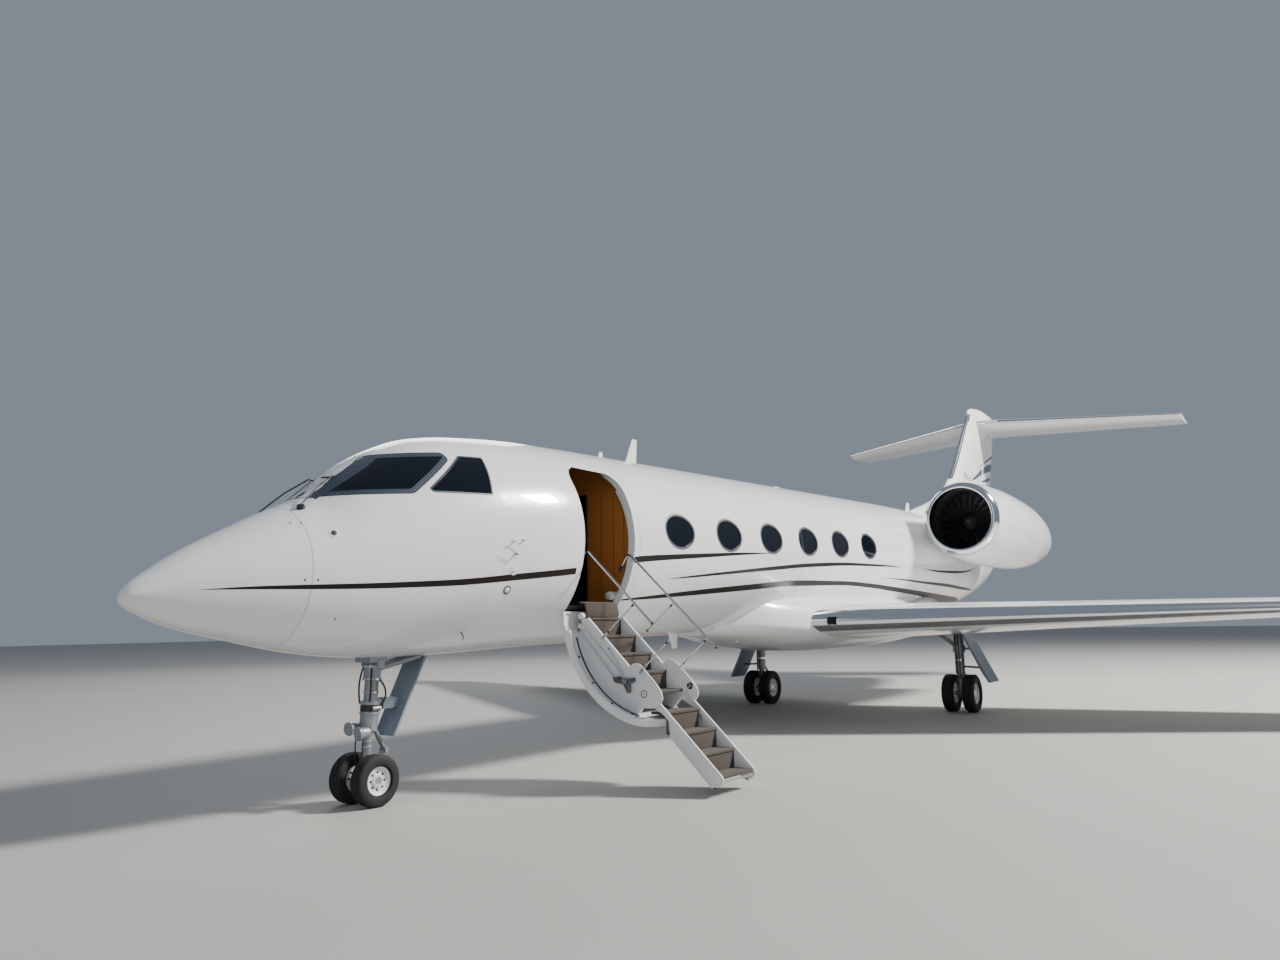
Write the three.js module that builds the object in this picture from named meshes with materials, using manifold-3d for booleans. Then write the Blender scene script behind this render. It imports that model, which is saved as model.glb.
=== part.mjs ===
// A twin-engined business jet parked on its wheels, with its airstair door let down.
// Units are millimetres. +Z is up, the nose points to -Y and the port side is +X.
// Every place is given as x (to port), station (aft of the nose tip) and z (above the ground).
import * as THREE from 'three';
import { mergeVertices } from 'three/addons/utils/BufferGeometryUtils.js';
import Module from 'manifold-3d';

const wasm = await Module();
wasm.setup();

// Driving dimensions
const overallLength = 27189.5;
const touchGap = 0.3;
const movingGap = 8;
const hingePinRadius = 9;
const axisHeightAtFive = 2663;
const parkedSlope = 0.025;
const barrelRadius = 1196;
const wallThickness = 77;

// Solids: closed geometries are joined and cut as manifolds
function signedVolume(geometry) {
  const flat = geometry.index ? geometry.toNonIndexed() : geometry;
  const p = flat.attributes.position.array;
  let sum = 0;
  for (let i = 0; i < p.length; i += 9) {
    sum += p[i] * (p[i + 4] * p[i + 8] - p[i + 5] * p[i + 7])
      + p[i + 1] * (p[i + 5] * p[i + 6] - p[i + 3] * p[i + 8])
      + p[i + 2] * (p[i + 3] * p[i + 7] - p[i + 4] * p[i + 6]);
  }
  return sum / 6;
}

// Bare closed geometry with shared corners and its faces pointing out
function closed(geometry) {
  let bare = geometry.clone();
  bare.deleteAttribute('normal');
  bare.deleteAttribute('uv');
  bare = mergeVertices(bare, 1e-3);
  if (signedVolume(bare) < 0) {
    const index = bare.index.array;
    for (let i = 0; i < index.length; i += 3) {
      [index[i + 1], index[i + 2]] = [index[i + 2], index[i + 1]];
    }
  }
  return bare;
}

function manifoldOf(geometry) {
  const bare = closed(geometry);
  return new wasm.Manifold(new wasm.Mesh({
    numProp: 3,
    vertProperties: new Float32Array(bare.attributes.position.array),
    triVerts: new Uint32Array(bare.index.array),
  }));
}

function geometryOf(manifold) {
  const mesh = manifold.getMesh();
  const geometry = new THREE.BufferGeometry();
  geometry.setAttribute('position', new THREE.BufferAttribute(mesh.vertProperties, 3));
  geometry.setIndex(new THREE.BufferAttribute(mesh.triVerts, 1));
  return geometry;
}

function join(...parts) {
  return geometryOf(parts.map(manifoldOf).reduce((a, b) => a.add(b)));
}

function cut(part, ...tools) {
  return geometryOf(tools.map(manifoldOf).reduce((a, b) => a.subtract(b), manifoldOf(part)));
}

function common(...parts) {
  return geometryOf(parts.map(manifoldOf).reduce((a, b) => a.intersect(b)));
}

function mirrored(geometry) {
  return closed(geometry.clone().applyMatrix4(new THREE.Matrix4().makeScale(-1, 1, 1)));
}

// Shapes
const at = (x, station, z) => new THREE.Vector3(x, station, z);
const radians = THREE.MathUtils.degToRad;

// A closed skin through rings of equal length, with flat ends
function loft(rings) {
  const count = rings[0].length;
  const positions = rings.flat().flatMap((p) => [p.x, p.y, p.z]);
  const index = [];
  for (let ring = 0; ring < rings.length - 1; ring += 1) {
    for (let i = 0; i < count; i += 1) {
      const a = ring * count + i;
      const b = ring * count + ((i + 1) % count);
      index.push(a, b, b + count, a, b + count, a + count);
    }
  }
  const last = (rings.length - 1) * count;
  for (let i = 1; i < count - 1; i += 1) {
    index.push(0, i + 1, i, last, last + i, last + i + 1);
  }
  const geometry = new THREE.BufferGeometry();
  geometry.setAttribute('position', new THREE.Float32BufferAttribute(positions, 3));
  geometry.setIndex(index);
  return closed(geometry);
}

function outline(points) {
  return new THREE.Shape(points.map(([u, v]) => new THREE.Vector2(u, v)));
}

// A flat outline in the plane of u and v, as thick as from start to end along w
function slab(shape, u, v, w, origin, start, end) {
  const geometry = new THREE.ExtrudeGeometry(shape, {
    depth: end - start, bevelEnabled: false, curveSegments: 6,
  });
  geometry.translate(0, 0, start);
  geometry.applyMatrix4(new THREE.Matrix4().makeBasis(u, v, w).setPosition(origin));
  return closed(geometry);
}

const alongX = at(1, 0, 0);
const alongStation = at(0, 1, 0);
const alongZ = at(0, 0, 1);
const origin = at(0, 0, 0);

// Outlines drawn in the side view (station, z), front view (x, z) and top view (x, station)
function sideSlab(points, x0, x1) {
  return slab(outline(points), alongStation, alongZ, alongX, origin, x0, x1);
}

function frontSlab(points, s0, s1) {
  return slab(outline(points), alongX, alongZ, alongStation, origin, s0, s1);
}

function box(x0, x1, s0, s1, z0, z1) {
  return frontSlab([[x0, z0], [x1, z0], [x1, z1], [x0, z1]], s0, s1);
}

// A round bar from a to b, with another radius at b where it tapers
function bar(a, b, radius, sides = 10, radiusAtB = radius) {
  const direction = b.clone().sub(a);
  const geometry = new THREE.CylinderGeometry(radiusAtB, radius, direction.length(), sides);
  geometry.translate(0, direction.length() / 2, 0);
  const turn = new THREE.Quaternion().setFromUnitVectors(alongStation, direction.normalize());
  geometry.applyQuaternion(turn);
  geometry.translate(a.x, a.y, a.z);
  return closed(geometry);
}

// The room that a bar needs in the piece it sits in
function socket(a, b, radius, sides = 10) {
  const along = b.clone().sub(a).normalize();
  return bar(a.clone().addScaledVector(along, -touchGap), b.clone().addScaledVector(along, touchGap),
    radius + touchGap * 1.1, sides);
}

// A profile of [distance along the axis, radius] turned about an axis from the start point.
// firstAngle turns the whole shape about the axis, to bring a flat or a corner to the bottom.
function turned(profile, start, axis, segments, firstAngle = 0) {
  const points = profile.map(([along, radius]) => new THREE.Vector2(radius, along));
  const geometry = new THREE.LatheGeometry(points, segments);
  geometry.rotateY(firstAngle);
  geometry.applyQuaternion(new THREE.Quaternion().setFromUnitVectors(alongStation, axis));
  geometry.translate(start.x, start.y, start.z);
  return closed(geometry);
}

// Fuselage: half ellipses above and below the widest line, sheared to the parked attitude
const axisHeight = (station) => axisHeightAtFive + parkedSlope * (station - 5000);

// Columns: station, half width, top, bottom, widest line (heights from the fuselage axis)
const fuselageSections = [
  [0, 25, -550, -600, -575],
  [180, 190, -370, -725, -545],
  [500, 365, -165, -850, -500],
  [880, 530, 30, -945, -440],
  [1300, 675, 230, -1050, -370],
  [1520, 745, 330, -1095, -330],
  [1930, 855, 650, -1155, -250],
  [2350, 950, 900, -1190, -160],
  [2750, 1025, 1050, -1205, -100],
  [3280, 1105, 1130, -1210, -50],
  [4250, 1190, 1188, -1200, 0],
  [5350, 1196, 1196, -1196, 0],
  [13600, 1196, 1196, -1196, 0],
  [15200, 1190, 1192, -1190, 0],
  [16800, 1140, 1160, -1150, 0],
  [18600, 1010, 1090, -1060, 20],
  [20300, 790, 980, -880, 60],
  [22000, 520, 810, -560, 150],
  [23900, 190, 520, 110, 315],
];
const ringSides = 32;
const radomeEnd = 1300;
const forwardEnd = 5350;
const cabinEnd = 13600;
const tailEnd = 23900;

function fuselageRing([station, halfWidth, top, bottom, widest], inset, shift = 0) {
  const ring = [];
  for (let i = 0; i < ringSides; i += 1) {
    const angle = (i / ringSides) * 2 * Math.PI;
    const reach = Math.sin(angle) >= 0 ? top - inset - widest : widest - bottom - inset;
    const x = Math.max(halfWidth - inset, 5) * Math.cos(angle);
    ring.push(at(x, station + shift, axisHeight(station) + widest + reach * Math.sin(angle)));
  }
  return ring;
}

// The solid between two stations of the table, made smaller all round by an inset
function fuselageSolid(from, to, inset, gapAtFront = 0, gapAtBack = 0) {
  const used = fuselageSections.filter(([station]) => station >= from && station <= to);
  return loft(used.map((section) => {
    const shift = (section[0] === from ? gapAtFront : 0) - (section[0] === to ? gapAtBack : 0);
    return fuselageRing(section, inset, shift);
  }));
}

const grownFuselage = fuselageSolid(0, tailEnd, -touchGap);

// Airstair: hinged on the skin below the door opening, with its outer wall a piece of the barrel
const doorMiddle = 4800;
const doorHalfWidth = 455;
const doorBottom = -860;
const doorTop = 825;
const doorCorner = 200;
const doorGap = 10;
const hinge = { x: 846, z: 1813 };
const lugStations = [doorMiddle - 380, doorMiddle, doorMiddle + 380];
const stairOpenAngle = 133.85;
const stairSlope = radians(-42.9);
const foldPivot = { t: 1460, n: 130 };
const treadPitch = 288;
const firstTread = 193;
const treadNosing = 117;
const treadCount = 9;
const treadsAbovePivot = 5;
const treadDepth = 225;
const treadThickness = 30;
const stringerTop = 128;
// The stair's sides lie this far fore and aft of the door's middle; the plates' thickness with the
// ears is the same on both
const stairReach = (side) => (side < 0 ? 300 : 390);
const plateDepth = 44;
const earDepth = 17;
const stairPlane = (side, inset) => doorMiddle + side * (stairReach(side) - inset);

const slopeAxis = at(Math.cos(stairSlope), 0, Math.sin(stairSlope));
const normalAxis = at(-Math.sin(stairSlope), 0, Math.cos(stairSlope));

// A point of the open stair: t down the slope from the hinge, n square to it
function stairPoint(t, n, station) {
  return at(hinge.x, station, hinge.z)
    .addScaledVector(slopeAxis, t).addScaledVector(normalAxis, n);
}

// An outline in t and n, from station s0 to station s1
function stairSlab(points, s0, s1) {
  return slab(outline(points), slopeAxis, normalAxis, alongStation, stairPoint(0, 0, 0), s0, s1);
}

// Moves a closed-door shape to the let-down position
function letDown(geometry) {
  const turn = new THREE.Matrix4().makeRotationY(radians(stairOpenAngle));
  const there = new THREE.Matrix4().makeTranslation(hinge.x, 0, hinge.z);
  const back = new THREE.Matrix4().makeTranslation(-hinge.x, 0, -hinge.z);
  return closed(geometry.clone().applyMatrix4(there.multiply(turn).multiply(back)));
}

// The door outline in the side view, with round upper corners
function doorOutline(grow) {
  const base = axisHeight(doorMiddle);
  const half = doorHalfWidth + grow;
  const low = base + doorBottom - grow;
  const high = base + doorTop + grow;
  const corner = doorCorner + grow;
  const shape = new THREE.Shape();
  shape.moveTo(doorMiddle - half, low);
  shape.lineTo(doorMiddle + half, low);
  shape.lineTo(doorMiddle + half, high - corner);
  shape.absarc(doorMiddle + half - corner, high - corner, corner, 0, Math.PI / 2, false);
  shape.lineTo(doorMiddle - half + corner, high);
  shape.absarc(doorMiddle - half + corner, high - corner, corner, Math.PI / 2, Math.PI, false);
  shape.lineTo(doorMiddle - half, low);
  return shape;
}

function barrelSlice(radius, s0, s1) {
  const middle = axisHeight(doorMiddle);
  return bar(at(0, s0, middle), at(0, s1, middle), radius, 64);
}

// Room above the opening that rises inwards, for the folded stair to pass under
function lintelBevel(halfWidth, drop) {
  const top = doorTop - drop;
  const z = axisHeight(doorMiddle) + top;
  const skinX = Math.sqrt(barrelRadius ** 2 - top ** 2);
  const depth = 300;
  const rise = depth * Math.tan(radians(25));
  return frontSlab([[skinX, z - 40], [skinX, z], [skinX - depth, z + rise], [skinX - depth, z - 40]],
    doorMiddle - halfWidth, doorMiddle + halfWidth);
}

function doorOpeningCutter() {
  const straight = slab(doorOutline(0), alongStation, alongZ, alongX, origin, 300, 1400);
  return join(straight, lintelBevel(300, 0), lintelBevel(375, 45));
}

// The door's wall, or with grow the room that moving pieces leave round it
function doorShell(grow = 0) {
  const s0 = doorMiddle - doorHalfWidth - grow;
  const s1 = doorMiddle + doorHalfWidth + grow;
  const lipHeight = axisHeight(doorMiddle) - 690;
  const inner = barrelSlice(barrelRadius - wallThickness - grow, s0 - 10, s1 + 10);
  const lip = common(
    barrelSlice(barrelRadius - 20 - grow, s0 - 10, s1 + 10),
    box(0, 1300, s0 - 10, s1 + 10, 0, lipHeight),
  );
  const wall = cut(barrelSlice(barrelRadius + grow, s0, s1), inner, lip);
  const flat = slab(doorOutline(grow - doorGap), alongStation, alongZ, alongX, origin, 300, 1400);
  const pinRoom = bar(at(hinge.x, s0, hinge.z), at(hinge.x, s1, hinge.z),
    hingePinRadius + touchGap * 1.7, 16);
  const lugRoom = lugStations.map((station) => bar(at(hinge.x, station - 25, hinge.z),
    at(hinge.x, station + 25, hinge.z), 26, 16));
  return letDown(cut(common(wall, flat), pinRoom, ...lugRoom));
}

// Nosing of tread number k, counted from the sill
function nosing(k) {
  return stairPoint(firstTread + treadPitch * (k - 1), treadNosing, doorMiddle);
}

// Treads and risers as one folded plate
function treadPlate(first, last) {
  const s0 = stairPlane(-1, plateDepth + touchGap);
  const s1 = stairPlane(1, plateDepth + touchGap);
  const plates = [];
  for (let k = first; k <= last; k += 1) {
    const edge = nosing(k);
    const back = k === 1 ? edge.x - 101 : edge.x - treadDepth;
    plates.push(box(back, edge.x, s0, s1, edge.z - treadThickness, edge.z));
    if (k < last) {
      plates.push(box(edge.x - 30, edge.x - 12, s0, s1, nosing(k + 1).z - treadThickness,
        edge.z));
    }
  }
  return join(...plates);
}

function upperFrame() {
  const pieces = [];
  const shellInside = letDown(barrelSlice(barrelRadius - wallThickness - touchGap,
    doorMiddle - 600, doorMiddle + 600));
  for (const side of [-1, 1]) {
    const from = side < 0 ? stairPlane(side, 0) : stairPlane(side, plateDepth);
    const stringer = stairSlab(
      [[150, -300], [1390, -300], [1390, stringerTop], [205, stringerTop], [150, 50]],
      from, from + plateDepth,
    );
    const earFrom = side < 0 ? stairPlane(side, 0) : stairPlane(side, earDepth);
    const ear = stairSlab(
      [[960, 60], [1390, 0], [1500, 40], [1530, 110], [1520, 190], [1450, 235], [1330, 250],
        [1060, 250], [1000, 205], [960, stringerTop]],
      earFrom, earFrom + earDepth,
    );
    pieces.push(common(join(stringer, ear), shellInside));
  }
  const crossBars = [[330, -110], [760, -140], [1180, -140]].map(([t, n]) => bar(
    stairPoint(t, n, stairPlane(-1, 20)), stairPoint(t, n, stairPlane(1, 20)), 14, 8,
  ));
  return join(...pieces, ...crossBars);
}

function lowerFrame() {
  const outer = earDepth + 6;
  const pieces = [];
  for (const side of [-1, 1]) {
    const s0 = stairPlane(side, side < 0 ? outer : plateDepth);
    const s1 = stairPlane(side, side < 0 ? plateDepth : outer);
    const { t, n } = foldPivot;
    pieces.push(stairSlab(
      [[1475, 32], [1590, 62], [1705, 68], [1835, -48], [2490, -48], [2548, 30], [2545, 105],
        [2505, 124], [t + 50, 124],
        [t + 38, n + 34], [t, n + 46], [t - 38, n + 32], [t - 48, n], [t - 38, n - 28],
        [t - 12, n - 44]],
      s0, s1,
    ));
    pieces.push(box(2660, 2690, s0, s1, 78, 190));
    pieces.push(bar(
      stairPoint(foldPivot.t, foldPivot.n, stairPlane(side, plateDepth)),
      stairPoint(foldPivot.t, foldPivot.n, stairPlane(side, earDepth + touchGap)),
      16, 12,
    ));
  }
  const tie = bar(
    stairPoint(2530, 72, stairPlane(-1, plateDepth - 10)),
    stairPoint(2530, 72, stairPlane(1, plateDepth - 10)), 9, 8,
  );
  return join(...pieces, tie);
}

// Handrails and struts lie in two planes outside the stringers
const strutOutset = 15;
const railOutset = 44;
const railRadius = 13;
const strutRadius = 8.5;
const pinRadius = 10;
const railHeight = 700;
const railStart = -290;
const hookEnd = { t: -248, n: 452 };

// Columns: name, foot t, foot n, top t (every top is on the rail's middle line)
const strutTable = [
  ['upper_strut', 520, 112, 600],
  ['lower_strut', 1133, 200, 1185],
];

// Columns: name, side of the stair, lower end of the rail along the slope
const railTable = [
  ['fore', -1, 930],
  ['aft', 1, 1330],
];

function handrail(side, railEnd) {
  const rail = stairPlane(side, -railOutset);
  return join(
    bar(stairPoint(railStart - 6, railHeight, rail), stairPoint(railEnd, railHeight, rail),
      railRadius),
    bar(stairPoint(railStart, railHeight + 4, rail), stairPoint(hookEnd.t, hookEnd.n, rail),
      railRadius),
  );
}

function strut(side, footT, footN, topT) {
  const plane = stairPlane(side, -strutOutset);
  const stringerSide = stairPlane(side, -touchGap);
  const railSide = stairPlane(side, -railOutset + railRadius + touchGap);
  return join(
    bar(stairPoint(footT, footN, plane), stairPoint(topT, railHeight, plane), strutRadius),
    bar(stairPoint(footT, footN, stringerSide), stairPoint(footT, footN, plane + side * 8),
      pinRadius),
    bar(stairPoint(topT, railHeight, plane), stairPoint(topT, railHeight, railSide), pinRadius),
  );
}

// Windows: each is a hole through the wall and a pane that fills it
// Columns: station, height from the axis
const windshieldOutline = [[1500, 322], [2165, 800], [2784, 846], [2800, 760], [2283, 360]];
const sideWindowOutline = [[2440, 425], [2933, 819], [3212, 823], [3132, 388], [2470, 385]];
const centrePostX = 150;
const cabinWindow = { count: 6, first: 6229, pitch: 1199, height: 150, width: 660, tall: 460 };

function raised(points) {
  return points.map(([station, w]) => [station, axisHeight(station) + w]);
}

// The window outline shrunk towards its middle, for the pane
function shrunk(points, gap) {
  const middle = points.reduce((a, b) => [a[0] + b[0] / points.length, a[1] + b[1] / points.length],
    [0, 0]);
  return points.map(([u, v]) => {
    const length = Math.hypot(u - middle[0], v - middle[1]);
    const k = 1 - gap / length;
    return [middle[0] + (u - middle[0]) * k, middle[1] + (v - middle[1]) * k];
  });
}

function windshieldTool(gap) {
  return sideSlab(shrunk(raised(windshieldOutline), gap), centrePostX + gap, 1300);
}

function sideWindowTool(gap) {
  return sideSlab(shrunk(raised(sideWindowOutline), gap), 500, 1300);
}

function cabinWindowTool(i, gap) {
  const station = cabinWindow.first + i * cabinWindow.pitch;
  const z = axisHeight(station) + cabinWindow.height;
  const shape = new THREE.Shape();
  shape.absellipse(station, z, cabinWindow.width / 2 - gap, cabinWindow.tall / 2 - gap,
    0, 2 * Math.PI, false);
  return slab(shape, alongStation, alongZ, alongX, origin, 900, 1300);
}

const windowRange = [...Array(cabinWindow.count).keys()];
const forwardWall = () => cut(
  fuselageSolid(radomeEnd, forwardEnd, 0),
  fuselageSolid(radomeEnd, forwardEnd, wallThickness, 120, -5),
);

function forwardFuselage() {
  const first = lugStations[0];
  const last = lugStations[lugStations.length - 1];
  const pin = bar(at(hinge.x, first, hinge.z), at(hinge.x, last, hinge.z), hingePinRadius, 12);
  const { x, z } = hinge;
  const lugs = lugStations.map((station) => frontSlab([[x - 66, z - 33], [x - 38, z - 28],
    [x + 4, z - 9], [x + 9, z], [x, z + 9], [x - 10, z], [x - 24, z - 12], [x - 66, z - 14]],
  station - 20, station + 20));
  const port = [windshieldTool(0), sideWindowTool(0)];
  return join(cut(forwardWall(), ...port, ...port.map(mirrored), doorOpeningCutter()),
    ...lugs, pin);
}

function pane(tool, from, to, thickness) {
  const skin = cut(fuselageSolid(from, to, 6), fuselageSolid(from, to, 6 + thickness, -5, -5));
  return common(skin, tool);
}

function cabinFuselage() {
  const holes = windowRange.map((i) => cabinWindowTool(i, 0));
  return cut(fuselageSolid(forwardEnd, cabinEnd, 0, touchGap),
    fuselageSolid(forwardEnd, cabinEnd, wallThickness, -5, -5),
    ...holes, ...holes.map(mirrored));
}

// Six panes on the lining strip that carries them inside the wall
function cabinWindows() {
  const inside = wallThickness + touchGap;
  const ends = [cabinWindow.first - 450,
    cabinWindow.first + (cabinWindow.count - 1) * cabinWindow.pitch + 450];
  const strip = common(
    cut(fuselageSolid(forwardEnd, cabinEnd, inside),
      fuselageSolid(forwardEnd, cabinEnd, inside + 12, -5, -5)),
    sideSlab([[ends[0], axisHeight(ends[0]) - 150], [ends[1], axisHeight(ends[1]) - 150],
      [ends[1], axisHeight(ends[1]) + 450], [ends[0], axisHeight(ends[0]) + 450]], 500, 1300),
  );
  const wall = cut(fuselageSolid(forwardEnd, cabinEnd, 12),
    fuselageSolid(forwardEnd, cabinEnd, inside + 6, -5, -5));
  const panes = windowRange.map((i) => common(wall, cabinWindowTool(i, touchGap)));
  return join(strip, ...panes);
}

function hollowTube(from, to) {
  return cut(fuselageSolid(from, to, 0, touchGap), fuselageSolid(from, to, wallThickness, -5, -5));
}

// Inside: floor, bulkheads, seats and panel
const floorTop = -740;
const floorThickness = 50;

function insideSolid(gap) {
  return fuselageSolid(radomeEnd, cabinEnd, wallThickness + gap, 121, 0);
}

function slopedBox(x0, x1, s0, s1, w0, w1) {
  return sideSlab([[s0, axisHeight(s0) + w0], [s1, axisHeight(s1) + w0],
    [s1, axisHeight(s1) + w1], [s0, axisHeight(s0) + w1]], x0, x1);
}

function cabinFloor() {
  const plate = common(insideSolid(touchGap),
    slopedBox(-1200, 1200, 1700, 13550, floorTop - floorThickness, floorTop));
  const half = doorHalfWidth - 55;
  const sill = common(
    barrelSlice(barrelRadius - 31, doorMiddle - half, doorMiddle + half),
    slopedBox(600, 1200, doorMiddle - half, doorMiddle + half, floorTop - floorThickness, floorTop),
  );
  return join(plate, sill);
}

function bulkhead(station, thickness, doorwayX0, doorwayX1) {
  const wall = common(insideSolid(touchGap),
    slopedBox(-1300, 1300, station, station + thickness, floorTop + touchGap, 1300));
  return cut(wall, slopedBox(doorwayX0, doorwayX1, station - 10, station + thickness + 10,
    floorTop - 10, 640));
}

function instrumentPanel() {
  const panel = slopedBox(-800, 800, 2050, 2260, -300, 130);
  const shade = slopedBox(-800, 800, 1980, 2330, 130, 175);
  const pedestal = slopedBox(-170, 170, 2200, 2900, floorTop + touchGap, -180);
  const foot = slopedBox(-800, 800, 2050, 2200, floorTop + touchGap, -290);
  return common(join(panel, shade, pedestal, foot), insideSolid(touchGap));
}

function pilotSeats() {
  const pieces = [];
  for (const side of [-1, 1]) {
    const x0 = side * 480 - 230;
    const x1 = side * 480 + 230;
    pieces.push(slopedBox(x0, x1, 2900, 3380, -430, -290));
    pieces.push(slopedBox(x0 + 20, x1 - 20, 3330, 3460, -400, 380));
    pieces.push(slopedBox(x0 + 110, x1 - 110, 3335, 3440, 370, 590));
    pieces.push(slopedBox(x0 + 80, x1 - 80, 3000, 3330, -700, -420));
  }
  pieces.push(slopedBox(-620, 620, 3050, 3300, floorTop + touchGap, -690));
  return join(...pieces);
}

// Aerofoils: a ring of points about a chord line
const chordSteps = [0, 0.012, 0.05, 0.14, 0.3, 0.5, 0.72, 1];

function thicknessAt(c) {
  return 5 * (0.2969 * Math.sqrt(c) - 0.126 * c - 0.3516 * c ** 2 + 0.2843 * c ** 3
    - 0.1015 * c ** 4);
}

// lead: front point; slope: rise of the chord line going aft; up: thickness direction;
// bias: share of the thickness above the chord line; grow: extra size all round
function aerofoilRing(lead, chord, ratio, slope, up, bias = 0.5, grow = 0) {
  const aft = at(0, 1, slope).normalize();
  const place = (c, share, sign) => {
    const half = share * ratio * chord * 2 * thicknessAt(c) + grow + 2;
    return lead.clone().addScaledVector(aft, c * chord + (c === 0 ? -grow : 0)
      + (c === 1 ? grow : 0)).addScaledVector(up, sign * half);
  };
  const over = chordSteps.slice(1).map((c) => place(c, bias, 1));
  const under = chordSteps.slice(1).map((c) => place(c, 1 - bias, -1)).reverse();
  return [place(0, 0, 0), ...over, ...under];
}

// Splits a panel at a hinge line from a to b into a fixed part and the moving surface behind it,
// whose round nose is wide enough to stay under the fixed part's edges at every angle.
// ra and rb are the nose radii, u the direction in which the surface is wide. The far end is cut
// square to the hinge, or in line with the near end where endGap is given.
const endRoom = 22;

function splitAtHinge(panel, a, b, ra, rb, u, endGap = 0) {
  const reach = 3000;
  const w = u === alongX ? alongZ : alongX;
  const along = b.clone().sub(a).normalize();
  const region = (near, far, forward) => {
    const pa = a.clone().addScaledVector(along, -near);
    const pb = b.clone().addScaledVector(along, far);
    const square = at(0, 0, 0).addScaledVector(u, -along.y).addScaledVector(alongStation,
      along.dot(u));
    const farEnd = pb.clone().addScaledVector(endGap ? alongStation : square, reach);
    const corner = (v) => [v.dot(u), v.y];
    const front = (v) => [v.dot(u), v.y - forward];
    return slab(outline([front(pa), front(pb), corner(pb), corner(farEnd),
      corner(pa.clone().addScaledVector(alongStation, reach))]), u, alongStation, w,
    at(0, 0, 0), -12000, 12000);
  };
  const nose = (grow) => bar(a.clone().addScaledVector(along, -200),
    b.clone().addScaledVector(along, 200), ra + grow, 20, rb + grow);
  const far = endRoom + endGap;
  const both = (near, farGrow, grow) => join(region(near, farGrow, 0.5),
    common(nose(grow), region(near, farGrow, 400)));
  const moving = common(panel, both(0, 0, 0));
  const room = both(endRoom, far, movingGap);
  const pinEnds = [-60, 40].map((step) => a.clone().addScaledVector(along, step));
  return {
    fixed: cut(panel, room, socket(...pinEnds, hingePinRadius, 12)),
    moving: join(moving, bar(...pinEnds, hingePinRadius, 12)),
  };
}

// Wing
// Columns: x, leading edge station, chord, leading edge z, thickness ratio, slope of the chord
const wingSections = [
  [1000, 9616, 5574, 1676, 0.105, -0.028],
  [4400, 11709, 4327, 1729, 0.098, -0.015],
  [11200, 15895, 1834, 1836, 0.085, 0.015],
];

function wingRing([x, lead, chord, z, ratio, slope], grow = 0) {
  return aerofoilRing(at(x, lead, z), chord, ratio, slope, alongZ, 0.56, grow);
}

function wingAt(x) {
  const upper = wingSections.findIndex((row) => row[0] >= x);
  const b = wingSections[Math.max(upper, 1)];
  const a = wingSections[Math.max(upper, 1) - 1];
  const k = (x - a[0]) / (b[0] - a[0]);
  return a.map((value, i) => value + (b[i] - value) * k);
}

// A point on the wing's chord line at a share of the chord
function onWing(x, share) {
  const [, lead, chord, z, , slope] = wingAt(x);
  return at(x, lead + share * chord, z + share * chord * slope);
}

const wingThickness = (x, share) => {
  const row = wingAt(x);
  return row[2] * row[4] * 2 * thicknessAt(share);
};

// Columns: name, inboard x and share of the chord at the hinge, the same outboard, share of the
// thickness that the nose radius takes
const wingSurfaces = [
  ['flap', 1500, 0.8, 8100, 0.74, 0.64],
  ['aileron', 8300, 0.76, 10850, 0.76, 0.62],
];
const hingeLift = 0.06;

// Winglet columns: x, leading edge station, z, chord, thickness ratio, cant from level in degrees
const wingletSections = [
  [11400, 16050, 1905, 1690, 0.08, 38],
  [11530, 16260, 2120, 1440, 0.075, 70],
  [11860, 17200, 3080, 640, 0.07, 74],
];

function wingPanels() {
  const tip = wingletSections.map(([x, lead, z, chord, ratio, cant]) => {
    const up = at(-Math.sin(radians(cant)), 0, Math.cos(radians(cant)));
    return aerofoilRing(at(x, lead, z), chord, ratio, 0.015, up, 0.56);
  });
  const panels = { wing: loft([...wingSections.map((row) => wingRing(row)), ...tip]) };
  for (const [name, x0, share0, x1, share1, nose] of wingSurfaces) {
    const thick0 = wingThickness(x0, share0);
    const thick1 = wingThickness(x1, share1);
    const split = splitAtHinge(panels.wing, onWing(x0, share0).add(at(0, 0, thick0 * hingeLift)),
      onWing(x1, share1).add(at(0, 0, thick1 * hingeLift)), thick0 * nose, thick1 * nose, alongX);
    panels.wing = split.fixed;
    panels[name] = split.moving;
  }
  return panels;
}

// The wing root grown all round, for its neighbours to keep clear of
const grownWing = loft(wingSections.slice(0, 2).map(([x, ...rest], i) => wingRing(
  [i === 0 ? x - touchGap : x, ...rest], touchGap)));

// Belly fairing columns: station, half width, bottom z, height of the widest line
const fairingSections = [
  [8150, 480, 1500, 1700],
  [9050, 1010, 1405, 1680],
  [10000, 1250, 1265, 1640],
  [11200, 1330, 1185, 1620],
  [12600, 1330, 1185, 1620],
  [14000, 1300, 1225, 1640],
  [15400, 1180, 1330, 1720],
  [16900, 760, 1580, 1880],
];

function bellyFairing() {
  const rings = fairingSections.map(([station, halfWidth, bottom, widest]) => {
    const ring = [];
    for (let i = 0; i < 24; i += 1) {
      const angle = (i / 24) * 2 * Math.PI;
      const c = Math.cos(angle);
      const s = Math.sin(angle);
      const reach = s < 0 ? widest - bottom : 560;
      const round = (v) => Math.sign(v) * Math.abs(v) ** 0.8;
      ring.push(at(halfWidth * round(c), station, widest + reach * round(s)));
    }
    return ring;
  });
  return cut(loft(rings), grownFuselage, grownWing, mirrored(grownWing));
}

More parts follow.
